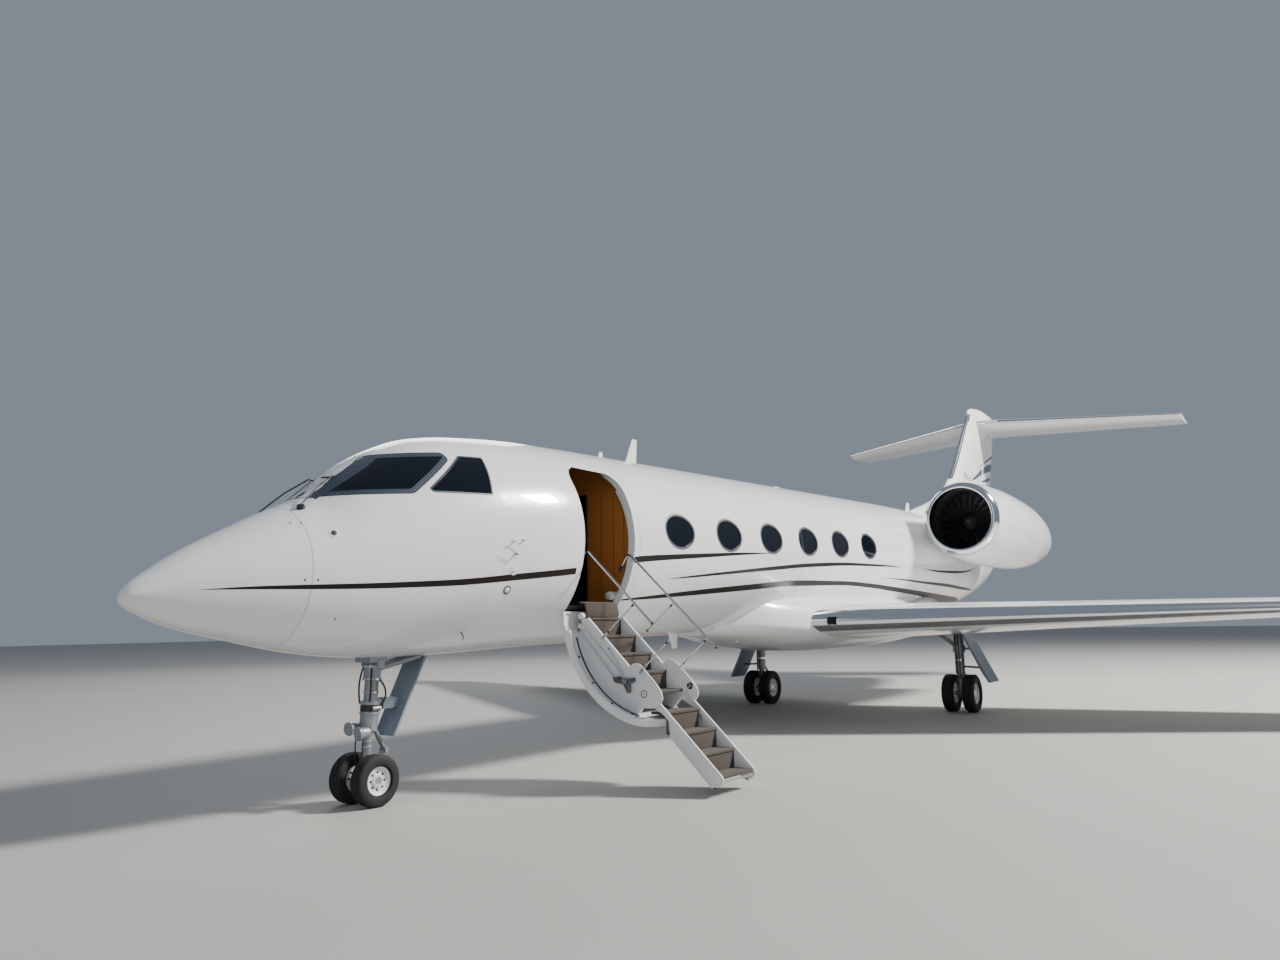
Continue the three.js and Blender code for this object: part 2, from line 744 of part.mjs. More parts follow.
// Fin with its dorsal fillet
// Columns: z, leading edge station, trailing edge station, thickness
const finSections = [
  [3500, 17000, 23400, 330],
  [4150, 17500, 23663, 330],
  [4480, 18700, 23802, 330],
  [4830, 19800, 23949, 320],
  [5210, 20410, 24108, 300],
  [7180, 22360, 24936, 230],
  [7400, 22580, 24200, 200],
];
const rudderHingeShare = 0.7;
const rudderSpan = [4420, 6950];
const rudderLean = 0.58;

function finAt(z) {
  const upper = Math.max(finSections.findIndex((row) => row[0] >= z), 1);
  const b = finSections[upper];
  const a = finSections[upper - 1];
  const k = (z - a[0]) / (b[0] - a[0]);
  return a.map((value, i) => value + (b[i] - value) * k);
}

function onFin(z, share) {
  const [, lead, trail] = finAt(z);
  return at(0, lead + share * (trail - lead), z);
}

function finPanels() {
  const fin = loft(finSections.map(([z, lead, trail, thick]) => aerofoilRing(
    at(0, lead, z), trail - lead, thick / (trail - lead), 0, alongX)));
  const hingeTop = onFin(rudderSpan[1], rudderHingeShare);
  const hingeLow = at(0, hingeTop.y - (rudderSpan[1] - rudderSpan[0]) * rudderLean,
    rudderSpan[0]);
  const split = splitAtHinge(fin, hingeLow, hingeTop, 118, 84, alongZ, 60);
  return { fin: cut(split.fixed, grownFuselage), rudder: split.moving };
}

// Tailplane
// Columns: x, leading edge station, chord, leading edge z, thickness ratio
const tailplaneSections = [
  [0, 22900, 2700, 7200, 0.1],
  [4875, 25589.6, 1600, 7190, 0.085],
];
const tailplaneSlope = -0.01;
const elevatorHinge = 0.68;
const elevatorSpan = [215, 4900];

function tailplaneAt(x) {
  const [a, b] = tailplaneSections;
  const k = x / b[0];
  return a.map((value, i) => value + (b[i] - value) * k);
}

function onTailplane(x, share) {
  const [, lead, chord, z] = tailplaneAt(x);
  return at(x, lead + share * chord, z + share * chord * tailplaneSlope);
}

const tailplaneHalf = (grow) => loft(tailplaneSections.map(
  ([x, lead, chord, z, ratio]) => aerofoilRing(at(x, lead, z), chord, ratio, tailplaneSlope,
    alongZ, 0.5, grow),
));

function tailplanePanels() {
  const half = tailplaneHalf(0);
  const [x0, x1] = elevatorSpan;
  const radius = (x) => {
    const row = tailplaneAt(x);
    return row[2] * row[4] * thicknessAt(elevatorHinge) * 1.18;
  };
  const split = splitAtHinge(half, onTailplane(x0, elevatorHinge), onTailplane(x1, elevatorHinge),
    radius(x0), radius(4800), alongX, 1);
  return { half: split.fixed, elevator: split.moving };
}

// The fairing where the tailplane crosses the fin
function bulletSolid(grow) {
  const columns = [[22540, 30, 7420], [22860, 130, 7410], [23600, 195, 7395], [24400, 170, 7395],
    [24950, 60, 7400]];
  return loft(columns.map(([station, radius, z]) => {
    const ring = [];
    for (let i = 0; i < 16; i += 1) {
      const angle = (i / 16) * 2 * Math.PI;
      ring.push(at((radius + grow) * Math.cos(angle), station,
        z + (radius * 1.42 + grow) * Math.sin(angle)));
    }
    return ring;
  }));
}

// Engines
const engineX = 1945;
const inletStation = 15020;
const inletZ = 3665;
const engineSlope = -0.03;
const engineAxis = at(0, 1, engineSlope).normalize();
const engineStart = at(engineX, inletStation, inletZ);
const ductSides = 26;

// The hollow nacelle: outside from the lip to the nozzle and back along the duct
// Columns: distance aft of the inlet plane, radius
const nacelleOutside = [[0, 675], [35, 708], [120, 738], [280, 752], [800, 798], [1800, 830],
  [3200, 795], [4300, 690], [5150, 530]];
const nacelleInside = [[5150, 500], [4300, 625], [3000, 695], [1600, 700], [950, 655], [280, 612],
  [120, 619], [30, 641]];
const fanStation = 760;
const fanRadius = 626;
const fanBlades = 14;
const coreFront = 970;

const engineTurned = (profile, sides) => turned(profile, engineStart, engineAxis, sides);
const nacelle = () => engineTurned([...nacelleOutside, ...nacelleInside, nacelleOutside[0]],
  ductSides);

function nacelleSolid(grow) {
  const outside = nacelleOutside.map(([along, r]) => [along, r + grow]);
  const last = nacelleOutside[nacelleOutside.length - 1];
  return engineTurned([[0, 0], ...outside, [last[0], 0]], ductSides);
}

function engineFan() {
  const hub = engineTurned([[fanStation - 260, 0], [fanStation - 180, 60],
    [fanStation - 40, 150], [fanStation + 100, 165], [fanStation + 100, 70],
    [coreFront - touchGap, 70], [coreFront - touchGap, 0]], 16);
  const blades = [];
  const root = engineStart.clone().addScaledVector(engineAxis, fanStation);
  const up = new THREE.Vector3().crossVectors(alongX, engineAxis).normalize();
  for (let i = 0; i < fanBlades; i += 1) {
    const angle = (i / fanBlades) * 2 * Math.PI;
    const out = alongX.clone().multiplyScalar(Math.cos(angle)).addScaledVector(up, Math.sin(angle));
    const across = new THREE.Vector3().crossVectors(engineAxis, out).normalize();
    const level = (radius, twist, half, thick) => {
      const c = root.clone().addScaledVector(out, radius);
      const chord = engineAxis.clone().multiplyScalar(Math.cos(twist))
        .addScaledVector(across, Math.sin(twist));
      const wide = new THREE.Vector3().crossVectors(out, chord);
      return [[-half, -thick], [half, -thick], [half, thick], [-half, thick]].map(([u, v]) => c
        .clone().addScaledVector(chord, u).addScaledVector(wide, v));
    };
    blades.push(loft([level(130, radians(25), 70, 7), level(fanRadius - 4, radians(58), 85, 4)]));
  }
  return join(hub, ...blades);
}

function engineCore() {
  const core = engineTurned([[coreFront, 0], [coreFront, 430], [1300, 470], [3200, 450],
    [3900, 330], [3900, 200], [4850, 20], [4850, 0]], ductSides);
  const guideRing = engineTurned([[1000, 0], [1000, 658.1], [1090, 664.3], [1090, 0]], ductSides);
  return join(core, guideRing);
}

function pylon() {
  const columns = [[700, 15750, 4100, 3430], [1500, 15900, 3700, 3640]];
  const body = loft(columns.map(([x, lead, chord, z]) => aerofoilRing(
    at(x, lead, z), chord, 0.075, parkedSlope, alongZ)));
  return cut(body, grownFuselage, nacelleSolid(touchGap));
}

// Landing gear
const noseGearStation = 2406;
const mainGearStation = 14013;
const mainGearX = 2085;
const noseWheel = { radius: 245, width: 165, spacing: 165, z: 245 };
const mainWheel = { radius: 340, width: 205, spacing: 185, z: 340 };

// Tyre and wheel in one turned shape, with the disc set in from both faces
// Columns: share of half the width from the middle, radius share
const tyreProfile = [[0.3, 0], [0.3, 0.24], [0.55, 0.26], [0.62, 0.5], [0.92, 0.56], [1, 0.72],
  [0.8, 0.95], [0.45, 1]];
const tyreSides = 20;

// Shares of the wheel's radius that the axle and the barrel round it take
const axleShare = 0.12;
const barrelShare = 0.24;
const axleSides = 20;

function axleBar(centre, halfLength, radius) {
  return bar(centre.clone().addScaledVector(alongX, -halfLength),
    centre.clone().addScaledVector(alongX, halfLength), radius, axleSides);
}

// The lower end of a leg: a barrel round the axle, with room for the axle's corners as it turns
function axleFoot(centre, { radius }, halfLength, leg) {
  const barrel = axleBar(centre, halfLength, radius * barrelShare);
  const room = (radius * axleShare + touchGap) / Math.cos(Math.PI / axleSides);
  return cut(join(leg, barrel), axleBar(centre, 400, room));
}

// The tyre's flats lie on its true circle, and one of them rests on the ground
function wheelPair(centre, { radius, width, spacing }) {
  const cornerRadius = radius / Math.cos(Math.PI / tyreSides);
  const half = tyreProfile.map(([u, r]) => [u * (width / 2), r * cornerRadius]);
  const profile = [...half.map(([u, r]) => [-u, r]), ...half.reverse()];
  const wheels = [-1, 1].map((side) => turned(profile,
    centre.clone().addScaledVector(alongX, side * spacing), alongX, tyreSides,
    Math.PI / tyreSides));
  const end = spacing + width * 0.3;
  return join(...wheels, axleBar(centre, end, radius * axleShare));
}

// The nose leg leans: its top stands further aft than its axle
const noseLean = 0.06;
const onNoseLeg = (z, x = 0, ahead = 0) => at(x,
  noseGearStation + (z - noseWheel.z) * noseLean - ahead, z);
const steeringZ = 850;

function noseDrag(grow = 0) {
  const ends = [onNoseLeg(1020), at(0, noseGearStation + 225, 950)];
  return grow > 0 ? socket(...ends, 26) : bar(...ends, 26);
}

function noseLeg() {
  const top = 1700;
  const s = noseGearStation;
  const strut = join(
    bar(onNoseLeg(steeringZ), onNoseLeg(top), 68, 16),
    bar(onNoseLeg(steeringZ), onNoseLeg(985), 88, 16),
    bar(onNoseLeg(1180), onNoseLeg(1330), 86, 12),
    bar(onNoseLeg(1340, -130), onNoseLeg(1340, 130), 45, 12),
  );
  const braces = [-1, 1].map((side) => bar(onNoseLeg(1290, side * 60),
    at(side * 110, s + 562, 1400), 24));
  const head = box(-120, 120, s - 60, s + 150, 1360, top);
  const yoke = bar(at(-120, s + 557, 1400), at(120, s + 557, 1400), 26);
  return cut(join(strut, ...braces, noseDrag(), head, yoke), grownFuselage);
}

function noseGearDoor() {
  const s = noseGearStation;
  const plate = sideSlab([[s + 221, 640], [s + 241, 630], [s + 624, 1405], [s + 596, 1405]],
    -150, 150);
  const room = join(noseDrag(touchGap),
    socket(at(-160, s + 557, 1400), at(160, s + 557, 1400), 26));
  const lug = sideSlab([[s + 175, 900], [s + 370, 900], [s + 430, 1000], [s + 175, 1010]],
    -40, 40);
  return cut(join(plate, lug), room, grownFuselage);
}

function noseFork() {
  const s = noseGearStation;
  const { z } = noseWheel;
  const collar = bar(onNoseLeg(700), onNoseLeg(steeringZ - touchGap), 88, 20);
  const piston = bar(onNoseLeg(z), onNoseLeg(710), 45, 16);
  const knee = at(0, s + 230, 500);
  const links = [
    bar(onNoseLeg(730, 0, -60), knee, 24),
    bar(knee, at(0, s + 20, z + 40), 24),
    bar(at(-45, s + 230, 500), at(45, s + 230, 500), 26),
  ];
  const lampBar = bar(onNoseLeg(720, -100, 85), onNoseLeg(720, 100, 85), 20);
  const lampArm = bar(onNoseLeg(720), onNoseLeg(720, 0, 85), 30);
  const lamps = [[-1, 728], [1, 688]].map(([side, height]) => bar(
    at(side * 74, s - 150, height), at(side * 84, s - 30, height + 4), 66, 16, 46));
  return axleFoot(at(0, s, z), noseWheel, 70,
    join(collar, piston, ...links, lampBar, lampArm, ...lamps));
}

function mainLeg() {
  const s = mainGearStation;
  const { z } = mainWheel;
  const strut = bar(at(mainGearX, s, 700), at(mainGearX, s, 1700), 88, 20);
  const piston = bar(at(mainGearX, s, z), at(mainGearX, s, 720), 58, 16);
  const sideBrace = bar(at(mainGearX, s, 1150), at(mainGearX - 560, s, 1560), 38);
  const knee = at(mainGearX, s + 250, 640);
  const links = [bar(at(mainGearX, s + 70, 850), knee, 26), bar(knee,
    at(mainGearX, s + 40, 420), 26)];
  const collar = bar(at(mainGearX, s, 1080), at(mainGearX, s, 1210), 112, 20);
  return axleFoot(at(mainGearX, s, z), mainWheel, 70,
    join(strut, piston, sideBrace, ...links, collar));
}

// The leg ends where it enters the wing and the fairing
function seatedMainLeg() {
  return cut(mainLeg(), grownWing, bellyFairing());
}

function mainGearDoor() {
  const s = mainGearStation;
  const plate = frontSlab([[2225, 1430], [2250, 1430], [2690, 560], [2660, 545], [2560, 700]],
    s - 270, s + 270);
  const arms = [[1150, 2380], [820, 2530]].map(([z, x]) => bar(at(mainGearX + 60, s, z),
    at(x, s, z - 20), 20));
  const leg = socket(at(mainGearX, s, 500), at(mainGearX, s, 1700), 88, 20);
  const collar = socket(at(mainGearX, s, 1080), at(mainGearX, s, 1210), 112, 20);
  return cut(join(plate, ...arms), leg, collar, grownWing);
}

// Finishes: colour, roughness, metalness
const finishes = {
  whitePaint: [0xf2f3f4, 0.25, 0.1],
  compositeWhite: [0xeeefef, 0.3, 0],
  steel: [0x9aa0a6, 0.4, 0.8],
  darkMetal: [0x2b2d31, 0.45, 0.7],
  rubber: [0x17181a, 0.85, 0],
  glass: [0x10182a, 0.08, 0.1],
  wood: [0xa4632c, 0.45, 0],
  carpet: [0x7d6a5c, 0.95, 0],
  panelGrey: [0x3a3d42, 0.7, 0],
  leather: [0x6b5d50, 0.6, 0],
};
const materials = Object.fromEntries(Object.entries(finishes).map(([name, [color, r, m]]) => [
  name, new THREE.MeshStandardMaterial({ color, roughness: r, metalness: m })]));

const aircraft = new THREE.Group();
aircraft.position.y = -overallLength / 2;

function add(name, geometry, finish) {
  const mesh = new THREE.Mesh(geometry, materials[finish]);
  mesh.name = name;
  aircraft.add(mesh);
}

function addPair(name, geometry, finish) {
  add(`${name}_port`, geometry, finish);
  add(`${name}_starboard`, mirrored(geometry), finish);
}

add('radome', fuselageSolid(0, radomeEnd, 0, 0, touchGap), 'compositeWhite');
add('forward_fuselage', forwardFuselage(), 'whitePaint');
add('cabin_fuselage', cabinFuselage(), 'whitePaint');
add('aft_fuselage', hollowTube(cabinEnd, tailEnd), 'whitePaint');
add('cabin_floor', cabinFloor(), 'panelGrey');
add('cockpit_bulkhead', bulkhead(4180, 40, -320, 320), 'panelGrey');
add('entry_bulkhead', bulkhead(5420, 40, -320, 320), 'wood');
add('instrument_panel', instrumentPanel(), 'panelGrey');
add('pilot_seats', pilotSeats(), 'leather');
addPair('windshield', pane(windshieldTool(touchGap), 1300, 4250, 26), 'glass');
addPair('side_window', pane(sideWindowTool(touchGap), 1300, 4250, 26), 'glass');
addPair('cabin_windows', cabinWindows(), 'glass');

const wingParts = wingPanels();
addPair('wing', wingParts.wing, 'whitePaint');
addPair('flap', wingParts.flap, 'compositeWhite');
addPair('aileron', wingParts.aileron, 'compositeWhite');
add('belly_fairing', bellyFairing(), 'compositeWhite');

const finParts = finPanels();
const tailParts = tailplanePanels();
const grownHalf = tailplaneHalf(touchGap);
add('fin', cut(finParts.fin, bulletSolid(touchGap), grownHalf, mirrored(grownHalf)),
  'compositeWhite');
add('rudder', finParts.rudder, 'compositeWhite');
add('tailplane', join(tailParts.half, mirrored(tailParts.half), bulletSolid(0)),
  'compositeWhite');
addPair('elevator', tailParts.elevator, 'compositeWhite');

addPair('nacelle', nacelle(), 'compositeWhite');
addPair('fan', engineFan(), 'darkMetal');
addPair('engine', engineCore(), 'steel');
addPair('pylon', pylon(), 'compositeWhite');

add('nose_leg', noseLeg(), 'steel');
add('nose_gear_door', noseGearDoor(), 'compositeWhite');
add('nose_fork', noseFork(), 'steel');
add('nose_wheels', wheelPair(at(0, noseGearStation, noseWheel.z), noseWheel), 'rubber');
addPair('main_leg', seatedMainLeg(), 'steel');
addPair('main_gear_door', mainGearDoor(), 'compositeWhite');
addPair('main_wheels', wheelPair(at(mainGearX, mainGearStation, mainWheel.z), mainWheel), 'rubber');

add('door_shell', doorShell(), 'whitePaint');
add('upper_stringers', upperFrame(), 'whitePaint');
add('upper_treads', treadPlate(1, treadsAbovePivot), 'carpet');
add('lower_stringers', lowerFrame(), 'whitePaint');
add('lower_treads', cut(treadPlate(treadsAbovePivot + 1, treadCount), doorShell(movingGap)),
  'carpet');
for (const [sideName, side, railEnd] of railTable) {
  add(`handrail_${sideName}`, handrail(side, railEnd), 'steel');
  for (const [name, footT, footN, topT] of strutTable) {
    add(`${name}_${sideName}`, strut(side, footT, footN, topT), 'steel');
  }
}

export default aircraft;
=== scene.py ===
# %% [markdown]
# # A business jet parked with its airstair down
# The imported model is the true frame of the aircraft: every size here is in metres, +Z is up, the
# nose points along -Y and the port side, with the door, is +X. This script dresses that frame. The
# skins are worked out again as smooth surfaces from the same few sections, because a shiny white
# skin shows every flat facet, and small pieces that MuJoCo doesn't need are added on top.

# %% Load the frame
import bmesh
import bpy
import numpy as np
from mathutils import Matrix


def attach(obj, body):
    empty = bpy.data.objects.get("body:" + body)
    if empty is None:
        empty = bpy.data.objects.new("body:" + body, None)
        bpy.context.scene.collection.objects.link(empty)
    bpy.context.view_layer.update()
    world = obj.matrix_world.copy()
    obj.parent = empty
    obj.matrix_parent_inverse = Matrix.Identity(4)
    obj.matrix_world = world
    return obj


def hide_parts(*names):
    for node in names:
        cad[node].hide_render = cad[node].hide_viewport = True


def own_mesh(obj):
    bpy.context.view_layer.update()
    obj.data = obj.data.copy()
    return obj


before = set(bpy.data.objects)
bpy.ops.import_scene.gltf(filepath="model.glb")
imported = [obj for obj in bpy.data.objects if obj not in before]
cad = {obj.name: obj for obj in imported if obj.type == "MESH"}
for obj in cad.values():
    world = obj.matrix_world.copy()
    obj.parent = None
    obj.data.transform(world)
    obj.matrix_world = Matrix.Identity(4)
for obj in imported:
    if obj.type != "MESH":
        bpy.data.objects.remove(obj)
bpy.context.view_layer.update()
print("CAD nodes:", len(cad))

# %% [markdown]
# ## Places on the aircraft
# A maker measures an aircraft in stations: metres aft of the nose tip. A point is (x, station, z),
# and `place` turns whole arrays of them into the frame's axes at once.

# %% Stations
ACROSS, UP = np.array([1.0, 0, 0]), np.array([0, 0, 1.0])
LENGTH = 27.1895
BULKHEAD_S = 5.420
TOUCH = 0.0003


def place(x, station, z):
    """Points from x to port, metres aft of the nose tip, and height above the ground."""
    x, station, z = np.broadcast_arrays(x, station, z)
    return np.stack([x, station - LENGTH / 2, z], axis=-1).astype(float)


def axis_height(station):
    """The fuselage axis climbs towards the tail, because the nose leg is the shorter one."""
    return 2.663 + 0.025 * (np.asarray(station) - 5.0)


# %% [markdown]
# ## Turning arrays into meshes
# Every new piece is one or more grids of points. Neighbours in a grid become four-sided faces, and
# a grid may close on itself in either direction. The seams are merged, and the normals of closed
# pieces are worked out again afterwards.

# %% Mesh helpers
def quads(grid, around=False, along=False):
    """Corner numbers of the faces between neighbouring points of a grid."""
    index = np.arange(grid.shape[0] * grid.shape[1]).reshape(grid.shape[:2])
    if around:
        index = np.concatenate([index, index[:, :1]], axis=1)
    if along:
        index = np.concatenate([index, index[:1]], axis=0)
    corners = [index[:-1, :-1], index[:-1, 1:], index[1:, 1:], index[1:, :-1]]
    return np.stack(corners, axis=-1).reshape(-1, 4)


def fan_cap(ring, tip=None):
    """A grid that closes a ring of points with a middle point."""
    middle = ring.mean(axis=0) if tip is None else np.asarray(tip, float)
    return np.stack([ring, np.repeat(middle[None], len(ring), axis=0)])


class Patch:
    """A grid of points, how it closes, and which material it takes."""

    def __init__(self, grid, around=False, along=False, look=0):
        self.grid = np.asarray(grid, float)
        self.faces = quads(self.grid, around, along)
        self.look = look


class Cap(Patch):
    """One flat face inside a ring of points; the outline may have hollows."""

    def __init__(self, ring, look=0):
        self.grid = np.asarray(ring, float)[None]
        self.faces = np.arange(len(ring))[None]
        self.look = look


# Degrees between two faces from which their edge stays crisp
SHARP_ANGLE = 40


def build(name, patches, looks, closed=True, sharp=SHARP_ANGLE):
    """Joins patches into one smooth mesh object; edges past the sharp angle stay crisp."""
    points = np.concatenate([p.grid.reshape(-1, 3) for p in patches])
    starts = np.cumsum([0] + [p.grid.shape[0] * p.grid.shape[1] for p in patches])
    faces = [face for p, start in zip(patches, starts) for face in (p.faces + start).tolist()]
    looks_of = np.concatenate([np.full(len(p.faces), p.look) for p in patches])
    mesh = bpy.data.meshes.new(name)
    mesh.from_pydata(points, [], faces)
    mesh.polygons.foreach_set("material_index", looks_of.astype(np.int32))
    work = bmesh.new()
    work.from_mesh(mesh)
    bmesh.ops.remove_doubles(work, verts=work.verts, dist=2e-5)
    bmesh.ops.dissolve_degenerate(work, edges=work.edges, dist=1e-6)
    if closed:
        bmesh.ops.recalc_face_normals(work, faces=work.faces)
    work.to_mesh(mesh)
    work.free()
    mesh.polygons.foreach_set("use_smooth", np.ones(len(mesh.polygons), bool))
    mesh.set_sharp_from_angle(angle=np.radians(sharp))
    thing = bpy.data.objects.new(name, mesh)
    bpy.context.collection.objects.link(thing)
    for look in looks:
        mesh.materials.append(look)
    return thing


def wear(thing, body, replaced=()):
    """Puts a piece on its body and hides the CAD nodes that it stands for."""
    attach(thing, body)
    if replaced:
        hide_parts(*replaced)
    return thing


def read(items, what, wide, kind=float):
    """One value of every vertex, loop or face of a mesh, as rows of wide numbers."""
    values = np.empty(len(items) * wide, kind)
    items.foreach_get(what, values)
    return values.reshape(-1, wide) if wide > 1 else values


def shape_with(thing, cutters, operation):
    """Cuts, trims or joins a closed piece with other closed pieces, then removes those."""
    for cutter in cutters:
        step = thing.modifiers.new("cut", "BOOLEAN")
        step.operation = operation
        step.solver = "EXACT"
        step.object = cutter
    bpy.context.view_layer.update()
    graph = bpy.context.evaluated_depsgraph_get()
    result = bpy.data.meshes.new_from_object(thing.evaluated_get(graph))
    thing.modifiers.clear()
    thing.data = result
    result.set_sharp_from_angle(angle=np.radians(SHARP_ANGLE))
    forget(*cutters)


def forget(*things):
    """Removes working pieces such as cutters."""
    for thing in things:
        bpy.data.objects.remove(thing, do_unlink=True)


def copy_of(thing, name):
    """A second object with its own copy of the mesh."""
    twin = bpy.data.objects.new(name, thing.data.copy())
    bpy.context.collection.objects.link(twin)
    return twin


def mirrored(thing, name):
    """The same piece on the starboard side: x changes sign and the faces are turned round."""
    twin = copy_of(thing, name)
    points = read(twin.data.vertices, "co", 3) * [-1, 1, 1]
    twin.data.vertices.foreach_set("co", points.ravel())
    twin.data.flip_normals()
    twin.data.update()
    return twin


def wear_both(thing, stem, body=None, replaced=True):
    """Wears a port piece and its starboard mirror image. Each rides body, or the body with its own
    name where body is None, and stands for the CAD node with its own name where replaced is true."""
    for side in ("_port", "_starboard"):
        name = stem + side
        piece = thing if side == "_port" else mirrored(thing, name)
        wear(piece, body or name, [name] if replaced else ())


def unit(vector):
    """A vector scaled to length one."""
    vector = np.asarray(vector, float)
    return vector / np.linalg.norm(vector)


def frame_across(direction):
    """Two unit vectors square to a direction and to each other."""
    helper = UP if abs(direction[2]) < 0.9 else ACROSS
    side = unit(np.cross(helper, direction))
    return side, np.cross(direction, side)


def ring_at(middle, side, up, radius, count):
    """Points of a circle round a middle, in the plane of side and up."""
    angle = np.linspace(0, 2 * np.pi, count, endpoint=False)
    return middle + radius * (np.cos(angle)[:, None] * side + np.sin(angle)[:, None] * up)


def turned(profile, start, direction, count=64, look=0, looks=None):
    """A profile of (distance along, radius) turned about an axis through start.

    looks gives one material number per stretch of the profile, where it isn't the same all along.
    """
    direction = unit(direction)
    side, up = frame_across(direction)
    rings = [ring_at(np.asarray(start) + along * direction, side, up, max(radius, 1e-5), count)
             for along, radius in profile]
    if looks is None:
        return [Patch(np.stack(rings), around=True, look=look)]
    return [Patch(np.stack(rings[i:i + 2]), around=True, look=looks[i])
            for i in range(len(rings) - 1)]


def rod(a, b, radius, count=20, look=0, end_radius=None):
    """A round bar with softened ends from a to b."""
    a, b = np.asarray(a, float), np.asarray(b, float)
    length = np.linalg.norm(b - a)
    last = radius if end_radius is None else end_radius
    soft = min(radius, last, length / 4) * 0.12
    profile = [(0, 0), (0, radius - soft), (soft, radius), (length - soft, last),
               (length, last - soft), (length, 0)]
    return turned(profile, a, b - a, count, look)


def lofted(rings, look=0):
    """Closed patches through rings of equal length."""
    rings = np.asarray(rings)
    return [Patch(rings, around=True, look=look), Patch(fan_cap(rings[0]), around=True, look=look),
            Patch(fan_cap(rings[-1]), around=True, look=look)]


def tube(path, radius, count=12, look=0):
    """A round tube along a path of points, with flat ends."""
    path = np.asarray(path, float)
    tangent = np.gradient(path, axis=0)
    tangent /= np.linalg.norm(tangent, axis=1)[:, None]
    side, up = frame_across(tangent[0])
    rings = []
    for middle, along in zip(path, tangent):
        side = unit(side - np.dot(side, along) * along)
        rings.append(ring_at(middle, side, np.cross(along, side), radius, count))
    return lofted(rings, look)


def hose(controls, radius, look, count):
    """A tube along a cubic curve that leaves the first point towards the second and comes to the
    last from the third."""
    t = np.linspace(0, 1, count)[:, None]
    curve = ((1 - t) ** 3 * controls[0] + 3 * t * (1 - t) ** 2 * controls[1]
             + 3 * t ** 2 * (1 - t) * controls[2] + t ** 3 * controls[3])
    return tube(curve, radius, 10, look)


def prism(outline, start, end, look=0):
    """A flat outline of points carried from one offset to another, with both ends closed."""
    outline = np.asarray(outline, float)
    return lofted([outline + np.asarray(start), outline + np.asarray(end)], look)


def soft_box(low, high, bevel=0.004, look=0):
    """A box with rounded upright edges, closed at both ends."""
    (x0, y0, z0), (x1, y1, z1) = low, high
    bevel = min(bevel, (x1 - x0) / 3, (y1 - y0) / 3)
    angle = np.linspace(0, np.pi / 2, 4)
    corners = []
    for cx, cy, turn in ((x1 - bevel, y1 - bevel, 0), (x0 + bevel, y1 - bevel, 1),
                         (x0 + bevel, y0 + bevel, 2), (x1 - bevel, y0 + bevel, 3)):
        a = angle + turn * np.pi / 2
        corners.append(np.stack([cx + bevel * np.cos(a), cy + bevel * np.sin(a),
                                 np.zeros(4)], axis=1))
    return prism(np.concatenate(corners), (0, 0, z0), (0, 0, z1), look)


# %% [markdown]
# ## Camera, floor and light
# The camera stands where the photographer stood: just ahead of the nose on the port side, about
# 1.7 m above the ground and looking slightly up. The place and angles were solved from known
# points of the aircraft in the photograph.

# %% Camera
def stand(thing, *columns):
    """Puts a thing somewhere: its three axes and its place are the columns of its matrix."""
    matrix = np.eye(4)
    matrix[:3] = np.stack(columns, axis=1)
    thing.matrix_world = matrix.T


CAMERA_PLACE = place(7.7316, -3.4547, 1.6948)
YAW, PITCH, ROLL = 0.6373, 0.1542, -0.0164
FOCAL_PIXELS, IMAGE_WIDTH, SENSOR = 923.79, 1280, 36.0

forward = np.array([-np.sin(YAW) * np.cos(PITCH), np.cos(YAW) * np.cos(PITCH), np.sin(PITCH)])
level = unit(np.cross(forward, [0, 0, 1]))
above = np.cross(level, forward)
right = np.cos(ROLL) * level + np.sin(ROLL) * above
upward = -np.sin(ROLL) * level + np.cos(ROLL) * above
lens = bpy.data.cameras.new("camera")
lens.sensor_width = SENSOR
lens.lens = FOCAL_PIXELS / IMAGE_WIDTH * SENSOR
lens.clip_end = 400
camera = bpy.data.objects.new("camera", lens)
bpy.context.collection.objects.link(camera)
stand(camera, right, upward, -forward, CAMERA_PLACE)
bpy.context.scene.camera = camera
print("lens, mm:", round(lens.lens, 2))


# %% Floor and light
def lamp(name, place_at, aim_at, power, size, colour=(1, 1, 1)):
    """A large square light aimed at a point."""
    light = bpy.data.lights.new(name, "AREA")
    light.energy, light.size, light.color = power, size, colour
    thing = bpy.data.objects.new(name, light)
    bpy.context.collection.objects.link(thing)
    away = unit(np.asarray(place_at, float) - np.asarray(aim_at, float))
    side, up = frame_across(away)
    stand(thing, side, up, away, place_at)


FLOOR_REACH = 140.0
floor_mesh = bpy.data.meshes.new("floor")
floor_corners = np.array([[-1, -1, 0], [1, -1, 0], [1, 1, 0], [-1, 1, 0]]) * FLOOR_REACH
floor_mesh.from_pydata(floor_corners, [], [(0, 1, 2, 3)])
floor = bpy.data.objects.new("floor", floor_mesh)
bpy.context.collection.objects.link(floor)
world = bpy.data.worlds.new("studio")
world.use_nodes = True
sky = world.node_tree.nodes["Background"]
sky.inputs["Color"].default_value = (0.62, 0.72, 0.86, 1)
sky.inputs["Strength"].default_value = 0.36
bpy.context.scene.world = world
lamp("key", (24, 14, 27), (0, -4, 2), 34000, 5, (1.0, 0.96, 0.90))
lamp("fill", (14, -34, 12), (0, -8, 2), 1300, 18)
lamp("rim", (-24, 10, 20), (0, 0, 3), 2500, 14)

# %% [markdown]
# ## Shared surface effects
# Three small node groups are used by many finishes. `Mottle` varies a colour gently, as dust and
# age do. `Relief` gives a fine height for a bump, from the waviness of sprayed paint to the grain
# of rubber. `Brushed` gives long thin scratches along one axis of the object.


